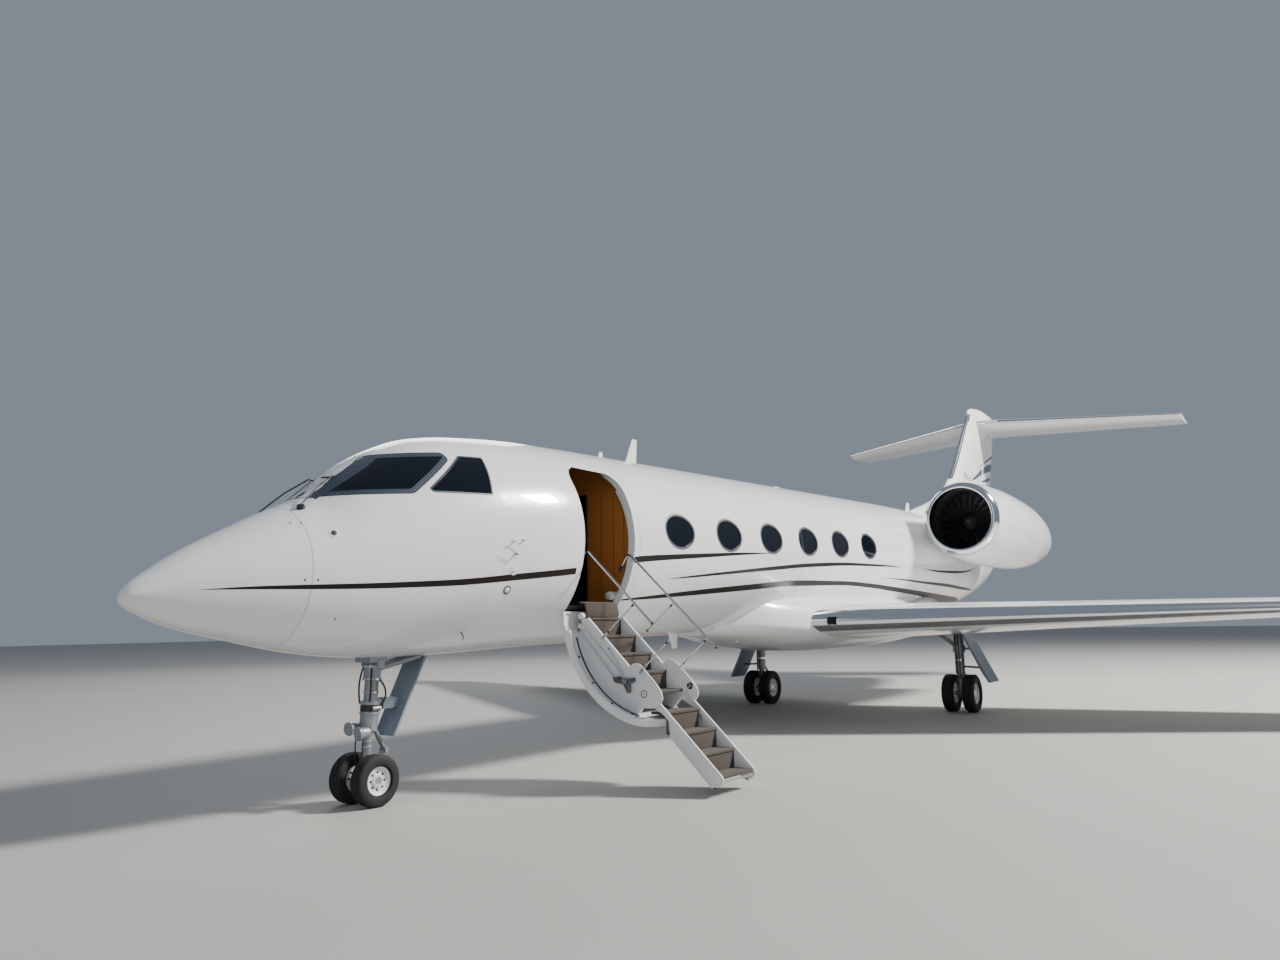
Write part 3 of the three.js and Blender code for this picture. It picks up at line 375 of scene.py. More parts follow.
# %% Node groups
def group(name, inputs, outputs):
    """An empty shader group with named sockets, and its input and output nodes."""
    tree = bpy.data.node_groups.new(name, "ShaderNodeTree")
    for label, kind, value in inputs:
        socket = tree.interface.new_socket(name=label, in_out="INPUT", socket_type=kind)
        socket.default_value = value
    for label, kind in outputs:
        tree.interface.new_socket(name=label, in_out="OUTPUT", socket_type=kind)
    return tree, tree.nodes.new("NodeGroupInput"), tree.nodes.new("NodeGroupOutput")


def add(tree, kind, links=None, **settings):
    """A node with its settings, and links from (node, socket name) into its sockets."""
    node = tree.nodes.new(kind)
    for label, value in settings.items():
        if hasattr(node, label):
            setattr(node, label, value)
        else:
            node.inputs[label.replace("_", " ")].default_value = value
    for socket, (source, output) in (links or {}).items():
        tree.links.new(source.outputs[output], node.inputs[socket])
    return node


FLOAT, COLOUR = "NodeSocketFloat", "NodeSocketColor"

mottle, given, result = group("Mottle", [("Color", COLOUR, (1, 1, 1, 1)), ("Scale", FLOAT, 4),
                                         ("Strength", FLOAT, 0.1)], [("Color", COLOUR)])
spot = add(mottle, "ShaderNodeTexCoord")
noise = add(mottle, "ShaderNodeTexNoise", {"Vector": (spot, "Object"), "Scale": (given, "Scale")},
            Detail=6)
spread = add(mottle, "ShaderNodeMath", {0: (noise, "Fac")}, operation="SUBTRACT")
spread.inputs[1].default_value = 0.5
scaled = add(mottle, "ShaderNodeMath", {0: (spread, "Value"), 1: (given, "Strength")},
             operation="MULTIPLY")
bright = add(mottle, "ShaderNodeMath", {0: (scaled, "Value")}, operation="ADD")
bright.inputs[1].default_value = 1.0
varied = add(mottle, "ShaderNodeVectorMath", {0: (given, "Color"), "Scale": (bright, "Value")},
             operation="SCALE")
mottle.links.new(varied.outputs["Vector"], result.inputs["Color"])

relief, given, result = group("Relief", [("Scale", FLOAT, 40), ("Roughness", FLOAT, 0.5)],
                              [("Height", FLOAT)])
spot = add(relief, "ShaderNodeTexCoord")
noise = add(relief, "ShaderNodeTexNoise", {"Vector": (spot, "Object"), "Scale": (given, "Scale"),
                                           "Roughness": (given, "Roughness")}, Detail=4)
relief.links.new(noise.outputs["Fac"], result.inputs["Height"])

brushed, given, result = group("Brushed", [("Across", FLOAT, 300), ("Along", FLOAT, 3)],
                               [("Height", FLOAT)])
spot = add(brushed, "ShaderNodeTexCoord")
stretch = add(brushed, "ShaderNodeCombineXYZ", {"X": (given, "Along"), "Y": (given, "Across"),
                                                "Z": (given, "Across")})
pulled = add(brushed, "ShaderNodeVectorMath", {0: (spot, "Object"), 1: (stretch, "Vector")},
             operation="MULTIPLY")
noise = add(brushed, "ShaderNodeTexNoise", {"Vector": (pulled, "Vector")}, Scale=1.0, Detail=3)
brushed.links.new(noise.outputs["Fac"], result.inputs["Height"])
print("shader groups:", [tree.name for tree in (mottle, relief, brushed)])

# %% [markdown]
# ## Finishes
# Each finish is a Principled shader with its own plain values, and the groups above give what
# changes over the surface. Sprayed gloss paint gets a clear coat and a very slight waviness, and
# bare metal gets fine brush marks.


# %% Finish maker
def finish(name, colour, rough, metal=0.0, coat=0.0, mottling=(3, 0.06), bump=None, depth=0.0005,
           brush=None, **sockets):
    """A material: colour with mottling (scale, strength), and a bump from relief or brush marks."""
    look = bpy.data.materials.new(name)
    look.use_nodes = True
    tree = look.node_tree
    shader = tree.nodes["Principled BSDF"]
    plain = {"Roughness": rough, "Metallic": metal, "Coat_Weight": coat, "Coat_Roughness": 0.04}
    for label, value in (plain | sockets).items():
        shader.inputs[label.replace("_", " ")].default_value = value
    shade = add(tree, "ShaderNodeGroup", node_tree=mottle)
    shade.inputs["Color"].default_value = (*colour, 1)
    shade.inputs["Scale"].default_value, shade.inputs["Strength"].default_value = mottling
    tree.links.new(shade.outputs["Color"], shader.inputs["Base Color"])
    if bump or brush:
        height = add(tree, "ShaderNodeGroup", node_tree=relief if bump else brushed)
        if bump:
            height.inputs["Scale"].default_value = bump
        else:
            height.inputs["Across"].default_value, height.inputs["Along"].default_value = brush
        marks = add(tree, "ShaderNodeBump", {"Height": (height, "Height")}, Distance=depth)
        tree.links.new(marks.outputs["Normal"], shader.inputs["Normal"])
    return look


# %% Finishes of the aircraft
white = finish("gloss_white_paint", (0.83, 0.84, 0.85), 0.22, coat=0.6, bump=9, depth=0.0012,
               mottling=(0.6, 0.03))
shell_white = finish("composite_white_paint", (0.8, 0.81, 0.82), 0.26, coat=0.5, bump=11,
                     depth=0.001, mottling=(0.8, 0.04))
stripe_paint = finish("charcoal_stripe_paint", (0.011, 0.0085, 0.008), 0.4, mottling=(5, 0.1),
                      Specular_IOR_Level=0.2)
swoosh_blue = finish("blue_grey_stripe_paint", (0.05, 0.075, 0.12), 0.3, coat=0.3)
seam = finish("seam_shadow", (0.3, 0.31, 0.33), 0.6)
polished = finish("polished_edge_metal", (0.72, 0.73, 0.75), 0.12, metal=1.0, brush=(60, 2),
                  depth=0.0003)
chrome = finish("chrome_rail", (0.7, 0.71, 0.73), 0.1, metal=1.0, mottling=(8, 0.05))
steel = finish("grey_gear_paint", (0.27, 0.29, 0.31), 0.36, metal=0.4, coat=0.2, bump=120,
               depth=0.0006, mottling=(14, 0.3))
bare_steel = finish("bare_steel", (0.5, 0.5, 0.5), 0.28, metal=1.0, mottling=(20, 0.25))
dark_metal = finish("dark_fan_metal", (0.16, 0.165, 0.18), 0.30, metal=0.9, brush=(220, 6),
                    depth=0.0004)
duct_grey = finish("duct_grey", (0.07, 0.073, 0.078), 0.4, metal=0.5, bump=40)
rubber = finish("tyre_rubber", (0.012, 0.012, 0.013), 0.75, bump=260, depth=0.0012,
                mottling=(9, 0.35))
hub_white = finish("wheel_white", (0.72, 0.73, 0.73), 0.35, coat=0.2, mottling=(20, 0.2))
black = finish("black_plastic", (0.018, 0.018, 0.02), 0.45, bump=300, depth=0.0004)
window_glass = finish("dark_window_glass", (0.005, 0.007, 0.013), 0.06, mottling=(1.2, 0.3),
                      Specular_IOR_Level=0.22)
frame_grey = finish("windshield_frame", (0.045, 0.06, 0.085), 0.45, metal=0.2, bump=90, depth=0.0005,
                    mottling=(12, 0.25))
ring_silver = finish("window_ring_silver", (0.46, 0.48, 0.50), 0.25, metal=0.9)
carpet = finish("tread_carpet", (0.060, 0.045, 0.035), 0.95, bump=700, depth=0.003,
                mottling=(60, 0.5), Sheen_Weight=0.15)
lining = finish("cabin_lining", (0.13, 0.105, 0.085), 0.8, bump=180, depth=0.0008)
door_inside = finish("gear_door_paint", (0.20, 0.235, 0.29), 0.4, coat=0.2, bump=70, depth=0.0006,
                     mottling=(9, 0.3))
door_white = finish("door_inner_white", (0.74, 0.75, 0.76), 0.4, coat=0.1, bump=60, depth=0.0006,
                    mottling=(10, 0.08))
leather = finish("seat_leather", (0.25, 0.2, 0.15), 0.5, bump=160, depth=0.0015,
                 mottling=(10, 0.2))
wood = finish("wood_veneer", (0.52, 0.19, 0.045), 0.35, coat=0.6, mottling=(3, 0.3))
wood_joint = finish("veneer_joint", (0.05, 0.02, 0.008), 0.6)
lamp_lens = finish("taxi_light_lens", (0.09, 0.10, 0.11), 0.06, coat=0.5, bump=60, depth=0.001)
# Near-black grey: the instrument panel's own colour, and painted shade on the cockpit bulkhead, which
# stands in the cabin's shadow ahead of the door
cabin_grey = finish("cabin_grey", (0.06, 0.062, 0.066), 0.6, bump=120, depth=0.0006)
floor_look = finish("pale_floor", (0.43, 0.42, 0.40), 0.75, bump=3, depth=0.002,
                    mottling=(0.35, 0.08))
floor_mesh.materials.append(floor_look)


# %% [markdown]
# ## The fuselage skin
# An airliner's tube is round in the middle and blends to a drooping nose and an upswept tail. A
# table gives the half width, top, bottom and widest line at a few stations. Cubic pieces that
# never overshoot (a shape-preserving spline) join them, worked out against the square root of the
# station so that the nose tip comes out round. Above and below the widest line each cross section
# is half an ellipse.

# %% Fuselage surface
# Columns: station, half width, top, bottom, widest line (heights from the fuselage axis)
SKIN_TABLE = np.array([
    [0, 0, -575, -575, -575], [180, 190, -370, -725, -545], [500, 365, -165, -850, -500],
    [880, 530, 30, -945, -440], [1300, 675, 230, -1050, -370], [1520, 745, 330, -1095, -330],
    [1930, 855, 650, -1155, -250], [2350, 950, 900, -1190, -160], [2750, 1025, 1050, -1205, -100],
    [3280, 1105, 1130, -1210, -50], [4250, 1190, 1188, -1200, 0], [5350, 1196, 1196, -1196, 0],
    [13600, 1196, 1196, -1196, 0], [15200, 1190, 1192, -1190, 0], [16800, 1140, 1160, -1150, 0],
    [18600, 1010, 1090, -1060, 20], [20300, 790, 980, -880, 60], [22000, 520, 810, -560, 150],
    [23900, 190, 520, 110, 315]]) / 1000.0
WALL = 0.077
# Stations where the radome, the forward, cabin and aft fuselage end, and where the inside begins
RADOME_END, FORWARD_END, CABIN_END, AFT_END, ROOM_START = 1.3, 5.35, 13.6, 23.9, 1.42


def smooth_through(x, y, q):
    """Cubic pieces through (x, y), with each slope the harmonic mean of the slopes beside it."""
    h = np.diff(x)
    d = np.diff(y) / h
    slope = np.zeros_like(y)
    slope[0], slope[-1] = d[0], d[-1]
    wa, wb = 2 * h[1:] + h[:-1], h[1:] + 2 * h[:-1]
    same = d[:-1] * d[1:] > 0
    safe = np.where(same, d[:-1], 1), np.where(same, d[1:], 1)
    slope[1:-1] = np.where(same, (wa + wb) / (wa / safe[0] + wb / safe[1]), 0)
    i = np.clip(np.searchsorted(x, q) - 1, 0, len(h) - 1)
    t = (q - x[i]) / h[i]
    return ((2 * t**3 - 3 * t**2 + 1) * y[i] + (t**3 - 2 * t**2 + t) * h[i] * slope[i]
            + (3 * t**2 - 2 * t**3) * y[i + 1] + (t**3 - t**2) * h[i] * slope[i + 1])


def section(station):
    """Half width, top, bottom and widest line at any stations."""
    q = np.sqrt(np.clip(np.asarray(station, float), 0, SKIN_TABLE[-1, 0]))
    root = np.sqrt(SKIN_TABLE[:, 0])
    return [smooth_through(root, SKIN_TABLE[:, c], q) for c in (1, 2, 3, 4)]


def skin(station, angle, off=0.0):
    """Points of the skin: x = half width times cos(angle), and the height is the widest line plus
    the reach up or down times sin(angle). off moves them outwards along both radii."""
    half, top, bottom, widest = section(station)
    reach = np.where(np.sin(angle) >= 0, top - widest, widest - bottom)
    return place((half + off) * np.cos(angle), station,
                 axis_height(station) + widest + (reach + off) * np.sin(angle))


def skin_angle(station, height):
    """The angle at which the port skin has a height above the fuselage axis."""
    _, top, bottom, widest = section(station)
    reach = np.where(height >= widest, top - widest, widest - bottom)
    return np.arcsin(np.clip((height - widest) / np.maximum(reach, 1e-6), -1, 1))


def skin_normal(points):
    """Outward unit normals at points on or near the skin: the gradient of
    (x / half width)^2 + (height / reach)^2, with the change along the station taken in steps."""
    station = points[:, 1] + LENGTH / 2

    def level(x, s, z):
        """One on the skin, less inside it and more outside."""
        half, top, bottom, widest = section(s)
        w = z - axis_height(s) - widest
        reach = np.where(w >= 0, top - widest, widest - bottom)
        return (x / np.maximum(half, 1e-4)) ** 2 + (w / np.maximum(reach, 1e-4)) ** 2

    step = 0.002
    x, z = points[:, 0], points[:, 2]
    gradient = np.stack([level(x + step, station, z) - level(x - step, station, z),
                         level(x, station + step, z) - level(x, station - step, z),
                         level(x, station, z + step) - level(x, station, z - step)], axis=1)
    return gradient / np.maximum(np.linalg.norm(gradient, axis=1), 1e-9)[:, None]


# Cosine of the angle up to which a face counts as a part of the outer skin
SKIN_LIKE = 0.9


def shine_like_skin(thing):
    """Gives the outer skin its exact normals, so that openings leave no dents in the gloss."""
    mesh = thing.data
    totals = read(mesh.polygons, "loop_total", 1, np.int32)
    flat = np.repeat(read(mesh.polygons, "normal", 3), totals, axis=0)
    corner = read(mesh.loops, "vertex_index", 1, np.int32)
    exact = skin_normal(read(mesh.vertices, "co", 3)[corner])
    near = np.einsum("ij,ij->i", flat, exact) > SKIN_LIKE
    normals = np.where(near[:, None], exact, read(mesh.corner_normals, "vector", 3))
    mesh.normals_split_custom_set(normals.tolist())


AROUND = 160
print("skin at the door:", [round(float(v), 3) for v in section(4.8)])

# %% [markdown]
# ## Walls with real openings
# The tube is a closed wall with an outer and an inner face. The door opening and the windows are
# cut out of it with closed cutters, all in one go. The cutters repeat the source's outlines.

# %% Wall and cutters
def wall_patches(from_station, to_station, step, inner_from=None):
    """Outer and inner faces of the tube between two stations, closed at both ends."""
    count = max(int(round((to_station - from_station) / step)) + 1, 3)
    stations = np.linspace(from_station, to_station, count)
    angle = np.linspace(0, 2 * np.pi, AROUND, endpoint=False)
    outer = skin(stations[:, None], angle[None, :])
    begin = from_station if inner_from is None else inner_from
    inner_stations = np.linspace(begin, to_station, count)
    inner = skin(inner_stations[:, None], angle[None, :], -WALL)
    patches = [Patch(outer, around=True), Patch(inner, around=True, look=1)]
    if begin == from_station:
        patches.append(Patch(np.stack([outer[0], inner[0]]), around=True))
    else:
        patches += [Patch(fan_cap(outer[0]), around=True), Patch(fan_cap(inner[0]), around=True,
                                                                 look=1)]
    patches.append(Patch(np.stack([outer[-1], inner[-1]]), around=True))
    return patches


def side_cutter(outline, x0, x1, name):
    """A closed cutter: an outline of (station, z) points carried from x0 to x1."""
    outline = np.asarray(outline, float)
    ring = place(0, outline[:, 0], outline[:, 1])
    return build(name, prism(ring, (x0, 0, 0), (x1, 0, 0)), [])


def rounded(points, radius, steps=5):
    """An outline with each corner replaced by a curve that starts and ends radius away from it."""
    points = np.asarray(points, float)
    before = np.roll(points, 1, axis=0) - points
    after = np.roll(points, -1, axis=0) - points
    radius = np.broadcast_to(radius, len(points))[:, None]
    a = points + before / np.linalg.norm(before, axis=1)[:, None] * radius
    b = points + after / np.linalg.norm(after, axis=1)[:, None] * radius
    t = np.linspace(0, 1, steps)[None, :, None]
    curve = (1 - t) ** 2 * a[:, None] + 2 * t * (1 - t) * points[:, None] + t ** 2 * b[:, None]
    return curve.reshape(-1, points.shape[1])


def from_axis(points):
    """Changes heights above the fuselage axis into heights above the ground."""
    points = np.asarray(points, float)
    return np.stack([points[:, 0], points[:, 1] + axis_height(points[:, 0])], axis=1)


# Columns: station, height from the axis
WINDSHIELD = [[1.500, 0.322], [2.165, 0.800], [2.784, 0.846], [2.800, 0.760], [2.283, 0.360]]
SIDE_WINDOW = [[2.440, 0.425], [2.933, 0.819], [3.212, 0.823], [3.132, 0.388], [2.470, 0.385]]
POST_X, WINDSHIELD_CORNER, SIDE_CORNER = 0.150, 0.040, 0.022
DOOR_MIDDLE, DOOR_HALF, DOOR_LOW, DOOR_HIGH, DOOR_CORNER = 4.8, 0.455, -0.860, 0.825, 0.200
DOOR_GAP = 0.010
WINDOW_FIRST, WINDOW_PITCH, WINDOW_COUNT = 6.229, 1.199, 6
WINDOW_HEIGHT, WINDOW_HALF_WIDE, WINDOW_HALF_TALL = 0.150, 0.330, 0.230


def door_outline(grow=0.0):
    """Door opening in the side view: square low corners and round upper ones."""
    base = axis_height(DOOR_MIDDLE)
    half, low, high = DOOR_HALF + grow, base + DOOR_LOW - grow, base + DOOR_HIGH + grow
    corner = DOOR_CORNER + grow
    arc = np.linspace(0, np.pi / 2, 13)
    first = np.stack([DOOR_MIDDLE + half - corner + corner * np.cos(arc),
                      high - corner + corner * np.sin(arc)], axis=1)
    second = np.stack([DOOR_MIDDLE - half + corner - corner * np.sin(arc),
                       high - corner + corner * np.cos(arc)], axis=1)
    return np.concatenate([[[DOOR_MIDDLE - half, low], [DOOR_MIDDLE + half, low]], first, second])


def window_outline(index, grow=0.0, count=64):
    """Ellipse of a cabin window in the side view."""
    angle = np.linspace(0, 2 * np.pi, count, endpoint=False)
    station = WINDOW_FIRST + index * WINDOW_PITCH
    middle = axis_height(station) + WINDOW_HEIGHT
    return np.stack([station + (WINDOW_HALF_WIDE + grow) * np.cos(angle),
                     middle + (WINDOW_HALF_TALL + grow) * np.sin(angle)], axis=1)


def lintel(half, drop):
    """The bevel over the door opening that the folded stair passes under: 25 degrees upwards."""
    z = axis_height(DOOR_MIDDLE) + DOOR_HIGH - drop
    x = np.sqrt(1.196 ** 2 - (DOOR_HIGH - drop) ** 2)
    rise = 0.3 * np.tan(np.radians(25))
    ring = np.array([[x, 0, z - 0.04], [x, 0, z], [x - 0.3, 0, z + rise], [x - 0.3, 0, z - 0.04]])
    ring[:, 1] = DOOR_MIDDLE - LENGTH / 2
    return build("lintel", prism(ring, (0, -half, 0), (0, half, 0)), [])


print("door opening, m:", round(2 * DOOR_HALF, 3), "x", round(DOOR_HIGH - DOOR_LOW, 3))

# %% Radome and forward fuselage
nose_stations = np.linspace(0, 1, 40)[1:] ** 2 * RADOME_END
nose_angle = np.linspace(0, 2 * np.pi, AROUND, endpoint=False)
nose_grid = skin(nose_stations[:, None], nose_angle[None, :])
nose_tip = skin(np.zeros(1), np.zeros(1))[0]
nose_grid[-1, :, 1] -= TOUCH
radome = build("radome_skin", [
    Patch(nose_grid, around=True), Patch(fan_cap(nose_grid[0], nose_tip), around=True),
    Patch(fan_cap(nose_grid[-1]), around=True)], [shell_white])
wear(radome, "airframe", ["radome"])

forward_skin = build("forward_skin", wall_patches(RADOME_END, FORWARD_END, 0.045, ROOM_START),
                     [white, lining])
cutters = []
for side, name in ((1, "port"), (-1, "starboard")):
    ends = (side * POST_X, side * 1.3)
    cutters.append(side_cutter(rounded(from_axis(WINDSHIELD), WINDSHIELD_CORNER), *ends, "glass_" + name))
    cutters.append(side_cutter(rounded(from_axis(SIDE_WINDOW), SIDE_CORNER), side * 0.5, side * 1.3,
                               "side_" + name))
cutters.append(side_cutter(door_outline(), 0.3, 1.4, "door_hole"))
cutters += [lintel(0.300, 0.0), lintel(0.375, 0.045)]
shape_with(forward_skin, cutters, "DIFFERENCE")
shine_like_skin(forward_skin)
wear(forward_skin, "airframe", ["forward_fuselage"])
print("forward skin faces:", len(forward_skin.data.polygons))

# %% Cabin and aft fuselage
cabin_skin = build("cabin_skin", wall_patches(FORWARD_END + TOUCH, CABIN_END, 0.12), [white, lining])
cutters = [side_cutter(window_outline(i), side * 0.9, side * 1.3, f"hole_{i}_{side}")
           for i in range(WINDOW_COUNT) for side in (1, -1)]
shape_with(cabin_skin, cutters, "DIFFERENCE")
shine_like_skin(cabin_skin)
wear(cabin_skin, "airframe", ["cabin_fuselage"])

aft_skin = build("aft_skin", wall_patches(CABIN_END + TOUCH, AFT_END, 0.12), [white, lining])
shine_like_skin(aft_skin)
wear(aft_skin, "airframe", ["aft_fuselage"])
print("cabin skin faces:", len(cabin_skin.data.polygons))

# %% [markdown]
# ## Cockpit and cabin glass
# Real windows are panes clamped in metal rings, flush with the skin. Each pane here is a curved
# plate that follows the skin a few millimetres inside it, and each frame is a raised band round
# the hole. Both are worked out from the window's outline: the band lies between the outline and
# the same outline moved towards its middle.

# %% Panes and frames
# How far the back of a pane lies inside the skin, and a cockpit frame stands out of it
PANE_BACK, FRAME_RISE = -0.03, 0.0015


def inward(points, distance):
    """An outline moved towards its inside: each corner goes along the half-way line of its two
    edges by the distance divided by the sine of half the corner."""
    points = np.asarray(points, float)
    edge = np.roll(points, -1, axis=0) - points
    edge /= np.linalg.norm(edge, axis=1)[:, None]
    normal = np.stack([edge[:, 1], -edge[:, 0]], axis=1)
    area = np.sum(points[:, 0] * np.roll(points[:, 1], -1) - np.roll(points[:, 0], -1) * points[:, 1])
    normal *= -np.sign(area)
    before = np.roll(normal, 1, axis=0)
    way = (normal + before) / (1 + np.sum(normal * before, axis=1))[:, None]
    return points + way * distance


def on_skin(outline, off):
    """Points of the port skin under an outline of (station, height above the ground)."""
    outline = np.asarray(outline, float)
    station = outline[..., 0]
    angle = skin_angle(station, outline[..., 1] - axis_height(station))
    return skin(station, angle, off)


def skin_plate(outline, front, back, look, rings=10):
    """A closed plate that follows the skin: rings of the outline shrink to its middle."""
    outline = np.asarray(outline, float)
    middle = outline.mean(axis=0)
    share = np.linspace(1, 0, rings)[:, None, None]
    flat = middle + (outline[None] - middle) * share
    a, b = on_skin(flat, front), on_skin(flat, back)
    return [Patch(a, around=True, look=look), Patch(b, around=True, look=look),
            Patch(np.stack([a[0], b[0]]), around=True, look=look)]


def skin_band(outer, inner, low, high, look, steps=3):
    """A raised closed band between two outlines, with its top face between low and high."""
    share = np.linspace(0, 1, steps)[:, None, None]
    top = on_skin(outer[None] + (inner - outer)[None] * share, high)
    bottom = on_skin(outer[None] + (inner - outer)[None] * share, low)
    loop = np.concatenate([top, bottom[::-1]])
    return [Patch(loop, around=True, along=True, look=look)]


def side_glass(name, outline, corner, width, screws):
    """One cockpit window: pane, metal frame and a row of screws round it."""
    edge = rounded(from_axis(outline), corner, 7)
    edge = np.concatenate([np.linspace(a, b, 6, endpoint=False)
                           for a, b in zip(edge, np.roll(edge, -1, axis=0))])
    inner = inward(edge, width)
    patches = skin_plate(inward(edge, 0.002), -0.008, PANE_BACK, 0, 24)
    patches += skin_band(inward(edge, FRAME_RISE), inner, -0.02, FRAME_RISE, 1)
    if screws:
        path = inward(edge, width * 0.45)
        travel = np.concatenate([[0], np.cumsum(np.linalg.norm(np.diff(path, axis=0), axis=1))])
        stops = np.linspace(0, travel[-1], screws, endpoint=False)
        at_stops = np.stack([np.interp(stops, travel, path[:, i]) for i in (0, 1)], axis=1)
        centres = on_skin(at_stops, FRAME_RISE)
        for centre, normal in zip(centres, skin_normal(centres)):
            patches += turned([(-0.001, 0), (-0.001, 0.005), (0.0008, 0.004), (0.0012, 0)], centre,
                              normal, 6, 2)
    return build(name, patches, [window_glass, frame_grey, bare_steel])


windshield = side_glass("windshield_port", WINDSHIELD, WINDSHIELD_CORNER, 0.050, 64)
side_window = side_glass("side_window_port", SIDE_WINDOW, SIDE_CORNER, 0.018, 0)
wear_both(windshield, "windshield", "airframe")
wear_both(side_window, "side_window", "airframe")

# %% Cabin windows
patches = []
for index in range(WINDOW_COUNT):
    patches += skin_plate(window_outline(index, -0.001), -0.014, PANE_BACK, 0, 8)
    patches += skin_band(window_outline(index, 0.004), window_outline(index, -0.022), -0.012,
                         0.0022, 1, 4)
    patches += skin_band(window_outline(index, -0.0222), window_outline(index, -0.034), -0.0138,
                         -0.006, 2, 3)
cabin_port = build("cabin_windows_port", patches, [window_glass, ring_silver, black])
wear_both(cabin_port, "cabin_windows", "airframe")
print("cabin windows:", 2 * WINDOW_COUNT)

# %% [markdown]
# ## Stripes and seams
# Painted stripes are only a fraction of a millimetre thick. They are ribbons carried along the
# skin, a millimetre proud so that they stay clear of it, and they taper to points at their ends.
# Panel seams are the same kind of ribbon, narrow and grey.

# %% Ribbons
def ribbon(points, widths, off=0.0011, step=0.04):
    """A band along the port skin through points (station, height from the axis)."""
    points = np.asarray(points, float)
    travel = np.concatenate([[0], np.cumsum(np.linalg.norm(np.diff(points, axis=0), axis=1))])
    count = max(int(travel[-1] / step), 4)
    t = np.linspace(0, travel[-1], count)
    station = smooth_through(travel, points[:, 0], t)
    height = smooth_through(travel, points[:, 1], t)
    width = smooth_through(travel, np.asarray(widths, float), t)
    tangent = np.stack([np.gradient(station, t), np.gradient(height, t)], axis=1)
    tangent /= np.linalg.norm(tangent, axis=1)[:, None]
    across = np.stack([-tangent[:, 1], tangent[:, 0]], axis=1)
    share = np.linspace(-0.5, 0.5, 4)[None, :, None]
    flat = np.stack([station, height], axis=1)[:, None] + across[:, None] * width[:, None, None] * share
    flat[..., 1] += axis_height(flat[..., 0])
    return Patch(on_skin(flat, off))


# Columns of each stripe: station, height from the axis, width
STRIPES = {
    "upper": [[0.45, -0.525, 0.0], [0.9, -0.516, 0.026], [1.55, -0.515, 0.044],
              [2.61, -0.492, 0.058], [3.5, -0.430, 0.066], [4.35, -0.360, 0.070],
              [5.38, -0.220, 0.072], [6.0, -0.183, 0.066], [6.67, -0.150, 0.056],
              [7.69, -0.100, 0.034], [8.8, -0.060, 0.0]],
    "middle": [[6.0, -0.452, 0.0], [6.53, -0.420, 0.022], [7.4, -0.365, 0.038],
               [8.30, -0.310, 0.052], [10.0, -0.218, 0.060], [11.5, -0.182, 0.048],
               [13.0, -0.188, 0.028], [13.95, -0.210, 0.0]],
    "lower": [[4.9, -0.700, 0.0], [5.4, -0.690, 0.022], [6.02, -0.660, 0.046],
              [7.89, -0.570, 0.080], [9.67, -0.500, 0.086], [11.15, -0.501, 0.070],
              [12.4, -0.541, 0.072], [13.8, -0.620, 0.080], [15.1, -0.696, 0.090],
              [16.45, -0.786, 0.125], [18.25, -0.888, 0.170], [19.4, -0.905, 0.0]],
    "rear": [[12.73, -0.401, 0.0], [13.97, -0.435, 0.024], [15.2, -0.490, 0.046],
             [16.7, -0.540, 0.064], [18.4, -0.612, 0.064], [20.2, -0.660, 0.0]],
    "pylon": [[14.85, -0.211, 0.0], [15.91, -0.255, 0.040], [17.0, -0.262, 0.056],
              [17.9, -0.245, 0.044], [19.49, -0.105, 0.0]],
}


def split_at_door(rows):
    """Cuts a stripe's table where it meets the door opening: ahead of it, on it and behind it."""
    rows = np.asarray(rows, float)
    fore, aft = DOOR_MIDDLE - DOOR_HALF, DOOR_MIDDLE + DOOR_HALF
    dense = np.linspace(rows[0, 0], rows[-1, 0], 400)
    full = np.stack([dense] + [smooth_through(rows[:, 0], rows[:, c], dense) for c in (1, 2)], axis=1)
    parts = [full[dense < fore - 0.001], full[(dense > fore + DOOR_GAP) & (dense < aft - DOOR_GAP)],
             full[dense > aft + 0.001]]
    return [part[:: max(len(part) // 24, 1)] if len(part) > 8 else part for part in parts]


stripe_patches, door_stripes = [], []
for rows in STRIPES.values():
    for part, keep in zip(split_at_door(rows), (stripe_patches, door_stripes, stripe_patches)):
        if len(part) > 3:
            keep.append(ribbon(part[:, :2], part[:, 2]))
stripes_port = build("stripes_port", stripe_patches, [stripe_paint], closed=False)
wear(stripes_port, "airframe")
starboard_patches = [ribbon(np.asarray(rows)[:, :2], np.asarray(rows)[:, 2])
                     for rows in STRIPES.values()]
mirror_source = build("stripes_copy", starboard_patches, [stripe_paint], closed=False)
wear(mirrored(mirror_source, "stripes_starboard"), "airframe")
forget(mirror_source)


def hoop(station, width=0.004, off=0.0009):
    """A narrow band round the tube at a station."""
    angle = np.linspace(0, 2 * np.pi, 181)
    edges = [skin(station + side * width / 2, angle, off) for side in (-1, 1)]
    return Patch(np.stack(edges))


seams = [hoop(s) for s in (RADOME_END, 5.36, 9.62, CABIN_END, 17.9, 21.2)]
seam_lines = build("skin_seams", seams, [seam], closed=False)
wear(seam_lines, "airframe")
print("stripe pieces:", len(stripe_patches), "and", len(door_stripes), "on the door")

# %% [markdown]
# ## Wings, tail and their moving surfaces
# A wing section is a rounded nose, a thick middle and a thin tail. The classic formula for its
# thickness is a sum of powers of the distance along the chord, and it gives the ring of points
# that is carried along the span. The moving surfaces are cut from the same panel at the hinge, as
# the source does, so that they still fit.

# %% Aerofoil surface
def half_thickness(c):
    """Half thickness over thickness ratio: 5 (0.2969 sqrt c - 0.126 c - 0.3516 c^2 + 0.2843 c^3
    - 0.1015 c^4) of the chord."""
    return 5 * (0.2969 * np.sqrt(c) - 0.126 * c - 0.3516 * c**2 + 0.2843 * c**3 - 0.1015 * c**4)


CHORD_STEPS = (1 - np.cos(np.linspace(0, np.pi, 37))) / 2


